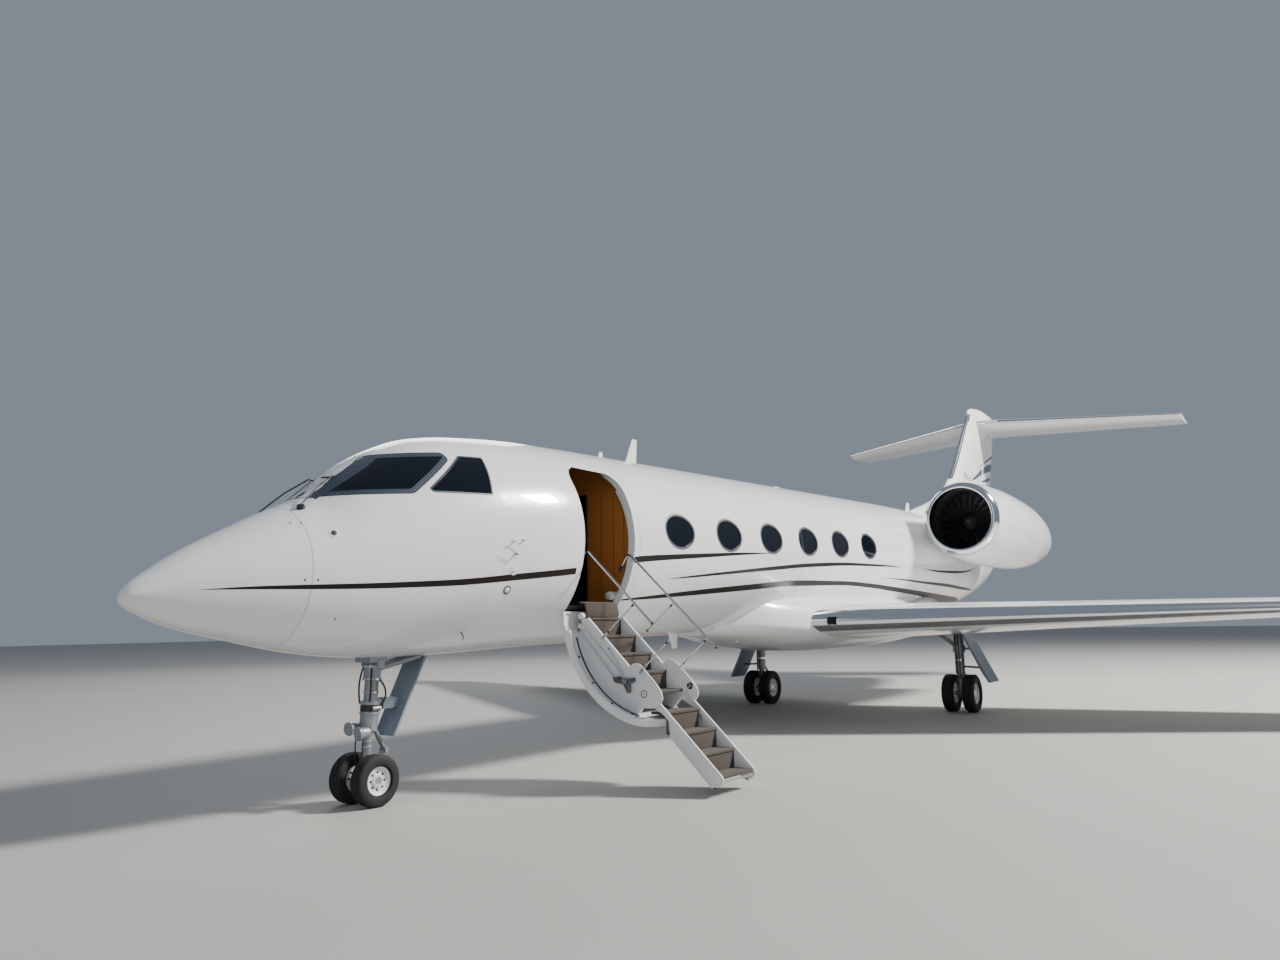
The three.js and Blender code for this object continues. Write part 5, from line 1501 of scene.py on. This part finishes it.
fore_drum = build("lift_drum_fore", drum(4.4475, 4.4965, 0.150, 0.105, 0.036), [door_white])
wear(fore_drum, "airstair_upper")
aft_drum = build("lift_drum_aft", drum(5.196, BULKHEAD_S - TOUCH, -0.159, 0.148, 0.050), [door_white])
wear(aft_drum, "airframe")

# %% [markdown]
# The side plates are milled sheets with broken edges. Each plate ends in a thin ear that carries the
# pivot of the folding half. A ring shows where the pivot's cover sits on the fore ear, and the aft
# ear has a spoked hole.

# %% Upper side plates
arc_t = np.linspace(1.39, 0.15, 26)
arc = np.stack([arc_t, SHELL_N - np.sqrt((SHELL_INNER - 0.002) ** 2 - (arc_t - SHELL_T) ** 2)], axis=1)
UPPER_PLATE = np.concatenate([[[0.15, 0.05], [0.205, STRINGER_TOP], [1.39, STRINGER_TOP]], arc])
EAR = rounded([[0.960, 0.060], [1.200, -0.100], [1.390, -0.060], [1.500, 0.040], [1.530, 0.110],
               [1.520, 0.190], [1.450, 0.235], [1.330, 0.250], [1.060, 0.250], [1.000, 0.205]],
              [0.02, 0.05, 0.05, 0.035, 0.03, 0.03, 0.03, 0.04, 0.03, 0.03], 5)
AFT_EAR = rounded([[0.940, 0.130], [0.960, 0.060], [1.390, 0.000], [1.500, 0.040], [1.530, 0.110],
                   [1.520, 0.190], [1.450, 0.235], [1.330, 0.250], [1.060, 0.250], [0.990, 0.215]],
                  0.03, 5)
plates = stair_plate(UPPER_PLATE, FORE_SIDE + EAR_DEPTH, FORE_SIDE + PLATE_DEPTH)
plates += stair_plate(UPPER_PLATE, AFT_SIDE - PLATE_DEPTH, AFT_SIDE - EAR_DEPTH)
plates += stair_plate(EAR, FORE_SIDE, FORE_SIDE + EAR_DEPTH - 0.0005)
plates += stair_plate(AFT_EAR, AFT_SIDE - EAR_DEPTH + 0.0005, AFT_SIDE)
# Radius and width of two raised rings round one middle
for radius, width in ((0.042, 0.010), (0.008, 0.006)):
    plates += turned([(0, radius - width), (0.003, radius - width * 0.7),
                      (0.003, radius - width * 0.3), (0, radius)],
                     stair(1.310, 0.060, FORE_SIDE - 0.0002), [0, -1, 0], 40, 1)
plates += turned([(0, 0.040), (0.0008, 0.040), (0.0008, 0)], stair(1.375, 0.185, AFT_SIDE - EAR_DEPTH),
                 [0, -1, 0], 32, 2)
for spoke in range(3):
    angle = spoke * 2 * np.pi / 3 + 0.5
    hub = AFT_SIDE - EAR_DEPTH - 0.0015
    tip = (1.375 + 0.041 * np.cos(angle), 0.185 + 0.041 * np.sin(angle), hub)
    plates += stair_rod((1.375, 0.185, hub), tip, 0.0028, 0, 8)
for t, n in ((0.330, -0.110), (0.760, -0.140), (1.180, -0.140)):
    plates += stair_rod((t, n, FORE_SIDE + 0.03), (t, n, AFT_SIDE - 0.03), 0.014, 1)
upper_frame = build("upper_side_plates", plates, [door_white, frame_grey, black], sharp=30)
wear(upper_frame, "airstair_upper", ["upper_stringers"])

# %% Lower side plates and feet
LOWER_PLATE = [[1.475, 0.032], [1.590, 0.062], [1.705, 0.068], [1.835, -0.048], [2.490, -0.048],
               [2.548, 0.030], [2.545, 0.105], [2.505, 0.124], [1.510, 0.124], [1.498, 0.164],
               [1.460, 0.176], [1.422, 0.162], [1.412, 0.130], [1.422, 0.102], [1.448, 0.086]]
low = []
for s0, s1, edge in ((FORE_SIDE + 0.023, FORE_SIDE + PLATE_DEPTH, FORE_SIDE + 0.0174),
                     (AFT_SIDE - PLATE_DEPTH, AFT_SIDE - 0.023, AFT_SIDE - 0.0174)):
    low += stair_plate(rounded(LOWER_PLATE, 0.010, 4), s0, s1)
    low += stair_rod((FOLD_T, FOLD_N, (s0 + s1) / 2), (FOLD_T, FOLD_N, edge), 0.0158, 1)
    low += soft_slab((2.660, s0 - LENGTH / 2, 0.078), (2.690, s1 - LENGTH / 2, 0.190), 0.006, 2)
low += stair_rod((2.530, 0.072, FORE_SIDE + 0.034), (2.530, 0.072, AFT_SIDE - 0.034), 0.009, 1)
lower_frame = build("lower_side_plates", low, [door_white, bare_steel, black], sharp=30)
wear(lower_frame, "airstair_lower", ["lower_stringers"])
print("side plates:", len(upper_frame.data.polygons), len(lower_frame.data.polygons))


# %% Door wall
def let_down(thing):
    """Turns a piece from the closed door to the open one, about the hinge line."""
    mesh = thing.data
    points = read(mesh.vertices, "co", 3)
    x, z = points[:, 0] - HINGE_X, points[:, 2] - HINGE_Z
    points[:, 0] = HINGE_X + x * np.cos(OPEN_ANGLE) + z * np.sin(OPEN_ANGLE)
    points[:, 2] = HINGE_Z - x * np.sin(OPEN_ANGLE) + z * np.cos(OPEN_ANGLE)
    mesh.vertices.foreach_set("co", points.ravel())
    mesh.update()


DOOR_RADIUS, DOOR_INNER, LIP_RADIUS, LIP_HEIGHT = 1.196, 1.119, 1.176, -0.690
DOOR_AXIS = float(axis_height(DOOR_MIDDLE))


def arc_block(outer, inner, start, end, half, looks, name, count=120):
    """A closed piece of a tube round the fuselage axis, between two angles and two stations."""
    angle = np.linspace(start, end, count)
    s0, s1 = DOOR_MIDDLE - half, DOOR_MIDDLE + half
    corners = [place(radius * np.cos(angle), s, DOOR_AXIS + radius * np.sin(angle))
               for radius, s in ((outer, s0), (outer, s1), (inner, s1), (inner, s0))]
    patches = [Patch(np.stack([corners[i], corners[(i + 1) % 4]]), look=look)
               for i, look in enumerate(looks)]
    for i in (0, -1):
        patches.append(Cap(np.stack([corner[i] for corner in corners])))
    return build(name, patches, [white, door_white])


shell = arc_block(DOOR_RADIUS, DOOR_INNER, -1.1, 1.1, DOOR_HALF + 0.05, (0, 0, 1, 0), "door_wall")
outline_tool = side_cutter(door_outline(-DOOR_GAP), 0.3, 1.4, "door_edge")
lip_angle = np.arcsin(LIP_HEIGHT / LIP_RADIUS)
lip_room = arc_block(LIP_RADIUS, 0.9, -1.2, lip_angle, DOOR_HALF + 0.2, (0, 0, 0, 0), "lip_room", 40)
pin_start = place(HINGE_X, DOOR_MIDDLE - 0.6, HINGE_Z)
rooms = [build("pin_room", rod(pin_start, pin_start + np.array([0, 1.2, 0]), 0.0095), [])]
for station in (4.42, 4.80, 5.18):
    spot = place(HINGE_X, station - 0.025, HINGE_Z)
    rooms.append(build("lug_room", rod(spot, spot + np.array([0, 0.05, 0]), 0.026, 32), []))
shape_with(shell, [outline_tool], "INTERSECT")
print("door wall after its outline:", len(shell.data.polygons))
shape_with(shell, [lip_room] + rooms, "DIFFERENCE")
let_down(shell)
wear(shell, "airstair_upper", ["door_shell"])
print("door wall faces:", len(shell.data.polygons))


# %% Door rim, seal and latches
def bent_strip(s0, s1, radius0, radius1, start, end, look, count=60):
    """A closed strip between two stations, two radii and two angles round the fuselage axis."""
    angle = np.linspace(start, end, count)
    loop = [place(radius * np.cos(angle), s, DOOR_AXIS + radius * np.sin(angle))
            for radius, s in ((radius0, s0), (radius0, s1), (radius1, s1), (radius1, s0))]
    grid = np.stack(loop, axis=1)
    return [Patch(grid, around=True, look=look), Cap(grid[0], look), Cap(grid[-1], look)]


def door_strip(half0, half1, radius0, radius1, look, angles=(-0.60, 0.575)):
    """A strip along each side edge of the door's inner face."""
    return [patch for side in (-1, 1)
            for patch in bent_strip(DOOR_MIDDLE + side * half0, DOOR_MIDDLE + side * half1, radius0,
                                    radius1, *angles, look, 64)]


rim = door_strip(0.430, 0.4440, 1.1186, 1.104, 0)
rim += door_strip(0.4155, 0.4285, 1.1186, 1.112, 1)
rim += door_strip(0.330, 0.350, 1.1186, 1.110, 2, (-0.55, 0.56))
for side in (-1, 1):
    for angle in (-0.35, -0.05, 0.25, 0.5):
        out = np.array([np.cos(angle), 0, np.sin(angle)])
        spot = place(0, DOOR_MIDDLE + side * 0.385, DOOR_AXIS) + 1.1192 * out
        rim += turned([(0, 0), (0, 0.016), (0.006, 0.013), (0.006, 0.006), (0.012, 0.005), (0.012, 0)],
                      spot, -out, 18, 3)
door_rim = build("door_rim", rim, [door_white, rubber, frame_grey, black])
let_down(door_rim)
wear(door_rim, "airstair_upper")
door_lines = build("door_stripes", door_stripes, [stripe_paint], closed=False)
let_down(door_lines)
wear(door_lines, "airstair_upper")

# %% [markdown]
# The hinge is a row of lugs on one long pin, low in the door opening. Round bars are enough for it.

# %% Hinge
hinge_patches = []
for station in (4.42, 4.80, 5.18):
    a, b = place(HINGE_X, station - 0.0245, HINGE_Z), place(HINGE_X, station + 0.0245, HINGE_Z)
    hinge_patches += rod(a, b, 0.024, 28)
hinge_patches += rod(place(HINGE_X, 4.360, HINGE_Z), place(HINGE_X, 5.240, HINGE_Z), 0.0088, 20, 1)
hinge = build("door_hinge_pin", hinge_patches, [steel, bare_steel])
wear(hinge, "airframe")

# %% [markdown]
# Two bent tubes are the handrails, and short struts join them to the side plates. Each strut has a
# knuckle at both ends. Sliding rods and a grey cast bracket on the fore side work the fold.

# %% Handrails and struts
RAIL_OUT, STRUT_OUT, RAIL_N, RAIL_R, STRUT_R = 0.044, 0.015, 0.700, 0.013, 0.0085


def handrail(station, end_t, name):
    """A straight rail, a rounded bend and a short leg back to the stair, with a grip and end cap."""
    corner = rounded([[end_t, RAIL_N], [-0.292, RAIL_N], [-0.248, 0.452], [-0.2, 0.2]], 0.075, 9)
    path = np.concatenate([[[end_t, RAIL_N], [end_t - 0.4, RAIL_N], [0.0, RAIL_N]], corner[9:18],
                           [[-0.248, 0.452]]])
    patches = tube(stair(path[:, 0], path[:, 1], station), RAIL_R, 24)
    patches += stair_rod((-0.262, 0.530, station), (-0.2475, 0.448, station), 0.0165, 1)
    patches += stair_rod((end_t - 0.012, RAIL_N, station), (end_t + 0.004, RAIL_N, station), 0.0145, 1)
    return build(name, patches, [chrome, black])


def strut(name, side, foot_t, foot_n, top_t, cover):
    """A round strut with a knuckle block, a collar and pins at its ends."""
    edge = FORE_SIDE if side < 0 else AFT_SIDE
    plane, rail = edge + side * STRUT_OUT, edge + side * (RAIL_OUT - RAIL_R - 0.0003)
    foot, top = np.array([foot_t, foot_n]), np.array([top_t, RAIL_N])
    along = (top - foot) / np.linalg.norm(top - foot)
    patches = stair_rod((*foot, plane), (*top, plane), STRUT_R, 0)
    patches += stair_rod((*foot, edge + side * 0.0003), (*foot, plane + side * 0.008), 0.010, 1)
    patches += stair_rod((*top, plane), (*top, rail), 0.010, 1)
    for share, length, radius, look in ((0.03, 0.045, 0.0135, 1), (0.18, 0.022, 0.0125, cover),
                                        (0.9, 0.030, 0.0120, 2)):
        a = foot + (top - foot) * share
        b = a + along * length
        patches += stair_rod((*a, plane), (*b, plane), radius, look)
    node = name + ("_fore" if side < 0 else "_aft")
    return wear(build(node, patches, [chrome, steel, black]), name + "s", [node])


for name, side, end_t in (("handrail_fore", -1, 0.930), ("handrail_aft", 1, 1.330)):
    station = (FORE_SIDE if side < 0 else AFT_SIDE) + side * RAIL_OUT
    wear(handrail(station, end_t, name), "handrails", [name])
    strut("upper_strut", side, 0.520, 0.112, 0.600, 2)
    strut("lower_strut", side, 1.133, 0.200, 1.185, 1)

# %% Fold linkage on the fore side
linkage = []
for a, b, radius in (((0.165, 0.040, 4.478), (0.990, 0.030, 4.478), 0.0075),
                     ((0.200, -0.045, 4.488), (0.935, -0.075, 4.488), 0.009),
                     ((0.640, 0.090, 4.494), (0.960, 0.045, 4.494), 0.004)):
    linkage += stair_rod(a, b, radius, 0)
    linkage += stair_rod(a, np.add(a, (0.03, 0, 0)), radius * 1.8, 1)
BRACKET = rounded([[0.900, -0.085], [0.990, -0.020], [1.060, 0.045], [1.120, 0.115], [1.150, 0.080],
                   [1.120, 0.020], [1.185, -0.040], [1.160, -0.075], [1.060, -0.040],
                   [0.960, -0.110]], 0.012, 4)
linkage += stair_plate(BRACKET, 4.470, 4.4995, 0.005, 1)
for t, n, radius in ((0.975, -0.035, 0.020), (1.060, 0.000, 0.026), (1.130, 0.085, 0.012)):
    linkage += stair_rod((t, n, 4.456), (t, n, 4.4995), radius, 2 if radius > 0.02 else 1, 24)
fold_linkage = build("fold_linkage", linkage, [chrome, dark_metal, steel])
wear(fold_linkage, "airstair_upper")
print("linkage faces:", len(fold_linkage.data.polygons))

# %% [markdown]
# ## Doorway
# Inside the door the photograph shows veneered panels with upright joints, and round the opening a
# pale frame with a rubber seal and catches. The joints are thin dark strips on the face of the
# entry bulkhead, and the frame follows the tube just inside the opening.

# %% Doorway trim
# Columns: fore station, width, inner radius, look
doorway = []
for station, width, radius, look in ((5.2565, 0.030, 1.098, 0), (5.2890, 0.012, 1.102, 1),
                                     (4.3120, 0.030, 1.098, 0)):
    doorway += bent_strip(station, station + width, 1.118, radius, -0.70, 0.60, look)
for angle in (-0.52, -0.34, -0.12, 0.10, 0.30, 0.50):
    out = np.array([np.cos(angle), 0, np.sin(angle)])
    middle = place(0, 5.268, DOOR_AXIS)
    doorway += rod(middle + 1.0985 * out, middle + 1.088 * out, 0.012, 14, 2)
for x in (0.335, 0.555, 0.745, 0.905):
    top = min(0.62, np.sqrt(1.11 ** 2 - x ** 2) - 0.02)
    face = BULKHEAD_S - LENGTH / 2
    doorway += soft_box((x - 0.003, face - 0.0035, 2.0), (x + 0.003, face - 0.0004, DOOR_AXIS + top),
                        0.001, 3)
doorway_trim = build("doorway_trim", doorway, [door_white, rubber, steel, wood_joint])
wear(doorway_trim, "airframe")

# %% [markdown]
# ## Small fittings
# Sensors, aerials and lamps are what makes a clean white tube look like an aircraft. Each is a few
# turned or lofted pieces on the skin, set out by station and by the angle round the section.

# %% Sensors and wipers
def spot_on_skin(station, angle, off=0.0):
    """A point of the skin and the outward direction there."""
    point = skin(np.array([station]), np.array([angle]), off)[0]
    return point, skin_normal(point[None])[0]


def disc(station, angle, radius, look, rise=0.003, count=28):
    """A low round cover on the skin."""
    point, out = spot_on_skin(station, angle)
    return turned([(-0.004, 0), (-0.004, radius), (rise * 0.5, radius), (rise, radius * 0.9),
                   (rise, 0)], point, out, count, look)


def probe(station, angle, reach, length, drop=0.0):
    """A short stem out of the skin and a thin tube pointing forward from its end."""
    point, out = spot_on_skin(station, angle)
    tip = point + out * reach
    ahead = tip + np.array([0, -length, -drop])
    return rod(point - out * 0.004, tip, 0.007, 12, 1) + rod(tip, ahead, 0.006, 12, 1,
                                                             end_radius=0.003)


fittings = []
for station, angle, reach, length, drop in ((3.318, -0.024, 0.050, 0.060, 0.0),
                                            (3.340, -0.140, 0.055, 0.150, -0.07),
                                            (3.440, -0.020, 0.030, 0.040, 0.0)):
    fittings += disc(station, angle, 0.028, 0) + probe(station, angle, reach, length, drop)
fittings += disc(3.360, -0.285, 0.050, 0) + probe(3.360, -0.285, 0.022, 0.090)
fittings += disc(3.338, -0.464, 0.048, 2) + disc(3.338, -0.464, 0.034, 0, 0.0045)
fittings += disc(1.504, 0.465, 0.050, 0) + disc(1.504, 0.465, 0.028, 2, 0.0045)
fittings += disc(3.034, -0.916, 0.040, 0) + probe(3.034, -0.916, 0.070, 0.030, 0.03)
for station, angle in ((1.218, 0.862), (1.293, 0.789), (1.239, -0.116), (1.345, -0.137),
                       (1.585, -0.656)):
    fittings += disc(station, angle, 0.010, 2, 0.0012, 12)
sensors_port = build("sensors_port", fittings, [shell_white, dark_metal, frame_grey])
wear_both(sensors_port, "sensors", "airframe", replaced=False)

# The post, the arm and the blade of a wiper
post, out = spot_on_skin(1.395, 1.12)
tip, _ = spot_on_skin(1.80, 1.34, 0.022)
wiper = turned([(-0.004, 0), (-0.004, 0.040), (0.030, 0.034), (0.040, 0)], post, out, 20)
wiper += tube([post + out * 0.032, (post + tip) / 2 + out * 0.040, tip + out * 0.012], 0.008, 10)
wiper += rod(tip + np.array([-0.10, -0.06, -0.01]), tip + np.array([0.10, 0.20, 0.03]), 0.009, 10)
wiper_port = build("wiper_port", wiper, [black])
wear_both(wiper_port, "wiper", "airframe", replaced=False)


# %% Aerials
def blade_aerial(station, angle, height, root, tip, sweep):
    """A swept blade that stands on the skin: aerofoil rings that shrink and move aft."""
    point, out = spot_on_skin(station, angle)
    side = unit(np.cross(out, [0, 1.0, 0]))
    rings = []
    for share in np.linspace(0, 1, 6):
        chord = root + (tip - root) * share
        lead = point + out * (height * share - 0.02) + np.array([0, sweep * share, 0])
        rings.append(aerofoil(lead, chord, 0.13, 0, side, 0.5, CHORD_STEPS[::2]))
    return lofted(rings)


# Columns: station, angle, height, chord at the root and at the tip, sweep
aerials = []
for row in ((6.62, np.pi / 2, 0.40, 0.27, 0.11, 0.20), (6.02, np.pi / 2, 0.13, 0.14, 0.06, 0.06),
            (17.25, np.pi / 2, 0.28, 0.30, 0.14, 0.16), (10.9, np.pi / 2, 0.07, 0.42, 0.24, 0.08),
            (7.6, -np.pi / 2, 0.22, 0.24, 0.12, 0.10), (9.0, -1.40, 0.22, 0.24, 0.12, 0.10),
            (17.6, -1.35, 0.14, 0.10, 0.05, 0.05), (18.1, -1.35, 0.14, 0.10, 0.05, 0.05)):
    aerials += blade_aerial(*row)
wear(build("aerials", aerials, [shell_white]), "airframe")

# %% Landing lights
# A strip of the wing's rounded nose, a little proud of it
rings = []
for x in np.linspace(1.420, 1.540, 8):
    row = wing_row(x)
    rings.append(aerofoil(place(x, row[1] - 0.003, row[3]), row[2], row[4] * 1.06, row[5], UP,
                          WING_BIAS, np.linspace(0, 0.0045, 8)))
landing_light = build("landing_light_port", lofted(rings), [window_glass])
wear_both(landing_light, "landing_light", "airframe", replaced=False)

# %% Fin scoop and strokes
scoop = []
SCOOP_S, SCOOP_Z = 21.45, 5.50
for share in np.linspace(0, 1, 7):
    angle = np.linspace(0, 2 * np.pi, 24, endpoint=False)
    radius = 0.075 * (1 - 0.75 * share ** 2)
    scoop.append(place(0.135 - 0.03 * share + radius * np.cos(angle), SCOOP_S + 0.85 * share,
                       SCOOP_Z + radius * 1.2 * np.sin(angle) - 0.05 * share))
fin_scoop = build("fin_scoop_port", lofted(scoop), [white])
wear_both(fin_scoop, "fin_scoop", "airframe", replaced=False)


def fin_side(station, z):
    """Points of the fin's port face: half thickness of its section at each station and height."""
    lead = smooth_through(FIN[:, 0], FIN[:, 1], np.atleast_1d(z))
    trail, thick = (np.interp(z, FIN[:, 0], FIN[:, c]) for c in (2, 3))
    share = np.clip((station - lead) / (trail - lead), 0, 1)
    return place(thick * half_thickness(share) + 0.0032, station, z)


def hinge_at(z):
    """Station of the rudder's hinge line at a height."""
    return rudder_top[1] + LENGTH / 2 - (RUDDER_TOP - z) * RUDDER_LEAN


# Columns of each stroke: distance aft of the hinge line, height of its lower and its upper edge
STROKES = ([[-1.21, 5.385, 5.41], [-0.80, 5.48, 5.58], [-0.40, 5.62, 5.79], [0.20, 5.80, 6.02],
            [0.93, 5.97, 6.22]],
           [[-0.61, 5.84, 5.86], [0.0, 6.07, 6.13], [0.93, 6.39, 6.47]],
           [[-0.25, 5.47, 5.49], [0.30, 5.54, 5.62], [0.93, 5.65, 5.79]])


def stroke_patches(first, last):
    """The part of each stroke between two distances from the hinge line."""
    patches = []
    for rows in STROKES:
        rows = np.asarray(rows)
        aft = np.linspace(max(first, rows[0, 0]), min(last, rows[-1, 0]), 24)
        low, high = (smooth_through(rows[:, 0], rows[:, c], aft) for c in (1, 2))
        heights = [low + (high - low) * share for share in np.linspace(0, 1, 4)]
        patches.append(Patch(np.stack([fin_side(aft + hinge_at(z), z) for z in heights], axis=1)))
    return patches


for body, first, last in (("airframe", -2.0, -0.125), ("rudder", -0.02, 1.0)):
    strokes = build(body + "_strokes_port", stroke_patches(first, last), [swoosh_blue], closed=False)
    wear_both(strokes, body + "_strokes", body, replaced=False)
print("small fittings done")

# %% [markdown]
# ## Landing gear fittings
# The legs keep the source's solids. What the photograph shows on them is hoses, clamps, a wide
# steering collar, and two lamps with polished rings and dark lenses.

# %% Nose gear fittings
def nose_leg_point(z, x=0.0, ahead=0.0):
    """A point beside the nose leg: the leg leans so that it goes aft by 0.06 of its height."""
    return place(x, NOSE_S + (z - NOSE_R) * 0.06 - ahead, z)


lamps = []
for side, height in ((-1, 0.728), (1, 0.688)):
    front = place(side * 0.074, NOSE_S - 0.150 + (height - NOSE_R) * 0.06, height)
    direction = np.array([side * 0.010, -0.120, -0.004])
    lamps += turned([(0.0005, 0.066), (0.012, 0.068), (0.016, 0.064), (0.012, 0.054),
                     (0.0005, 0.052)], front, direction, 40, 0)
    lamps += turned([(0.0005, 0.052), (0.008, 0.050), (0.011, 0.030), (0.012, 0)], front, direction,
                    40, 1)
nose_lamps = build("nose_lamps", lamps, [chrome, lamp_lens])
wear(nose_lamps, "nose_fork")

collar = []
for z0, z1, radius, look in ((0.853, 0.880, 0.096, 0), (0.950, 0.980, 0.096, 0), (0.885, 0.945, 0.092, 1),
                             (1.185, 1.205, 0.092, 2), (1.300, 1.325, 0.092, 2), (1.060, 1.075, 0.075, 2)):
    collar += rod(nose_leg_point(z0), nose_leg_point(z1), radius, 36, look)
for x in (-0.085, 0.085):
    collar += rod(nose_leg_point(0.915, x, 0.030), nose_leg_point(0.915, x, -0.060), 0.024, 20, 0)
    collar += rod(nose_leg_point(0.915, x, 0.036), nose_leg_point(0.915, x, 0.028), 0.018, 6, 2)
for path in ([(1.31, 0.06, 0.06), (1.20, 0.10, 0.09), (1.08, 0.105, 0.08), (0.98, 0.08, 0.07)],
             [(1.32, -0.05, 0.07), (1.18, -0.09, 0.10), (1.05, -0.10, 0.07), (0.96, -0.07, 0.07)],
             [(1.20, 0.08, -0.02), (1.12, 0.11, -0.10), (1.02, 0.10, -0.14), (0.93, 0.085, -0.06)]):
    collar += hose([nose_leg_point(*row) for row in path], 0.009, 1, 24)
nose_fittings = build("nose_leg_fittings", collar, [steel, black, chrome])
wear(nose_fittings, "airframe")

# %% Nose gear fork fittings
fork = []
for z in (0.545, 0.600, 0.655):
    fork += rod(nose_leg_point(z, 0.0), nose_leg_point(z + 0.012, 0.0), 0.052, 30, 0)
for side in (-1, 1):
    fork += rod(nose_leg_point(0.735, side * 0.070, 0.020), nose_leg_point(0.735, side * 0.092, 0.020),
                0.020, 18, 1)
    path = [(0.70, side * 0.05, 0.08), (0.60, side * 0.06, 0.11), (0.45, side * 0.055, 0.09),
            (0.33, side * 0.05, 0.06)]
    fork += hose([nose_leg_point(*row) for row in path], 0.007, 2, 20)
fork_fittings = build("nose_fork_fittings", fork, [chrome, steel, black])
wear(fork_fittings, "nose_fork")

# %% Main gear hoses and clamps
main_parts = []
for z0, z1 in ((0.92, 0.955), (1.16, 1.195), (1.42, 1.455)):
    main_parts += rod(place(MAIN_X, MAIN_S, z0), place(MAIN_X, MAIN_S, z1), 0.096, 32)
for lead, sign in ((0.115, 1), (0.105, -1)):
    path = [place(MAIN_X + sign * 0.03, MAIN_S - lead, z) for z in np.linspace(0.60, 1.50, 26)]
    wave = np.sin(np.linspace(0, 6, 26)) * 0.006
    path = np.array(path) + np.stack([wave, -np.abs(wave), 0 * wave], axis=1)
    main_parts += tube(path, 0.010, 10, 1)
main_hoses = build("main_leg_fittings_port", main_parts, [chrome, black])
wear_both(main_hoses, "main_leg_fittings", "airframe", replaced=False)
print("gear fittings done")

# %% [markdown]
# ## Pieces that keep the source's shape
# The legs, the gear doors, the floor, the bulkheads, the panel and the seats already have their
# true shapes, so they only take finishes.

# %% Finishes of the CAD nodes
def dress(name, *looks):
    """Gives a CAD node its finish; its shape stays."""
    thing = cad[name]
    for index, look in enumerate(looks):
        if index < len(thing.material_slots):
            thing.material_slots[index].material = look
        else:
            thing.data.materials.append(look)


for name in ("nose_leg", "nose_fork", "main_leg_port", "main_leg_starboard"):
    dress(name, steel)
for name in ("nose_gear_door", "main_gear_door_port", "main_gear_door_starboard"):
    dress(name, door_inside)
# The cockpit bulkhead's near-black grey is painted shade; the instrument panel is really this dark
for name in ("cabin_floor", "instrument_panel", "cockpit_bulkhead"):
    dress(name, cabin_grey)
dress("entry_bulkhead", wood)
dress("pilot_seats", leather)
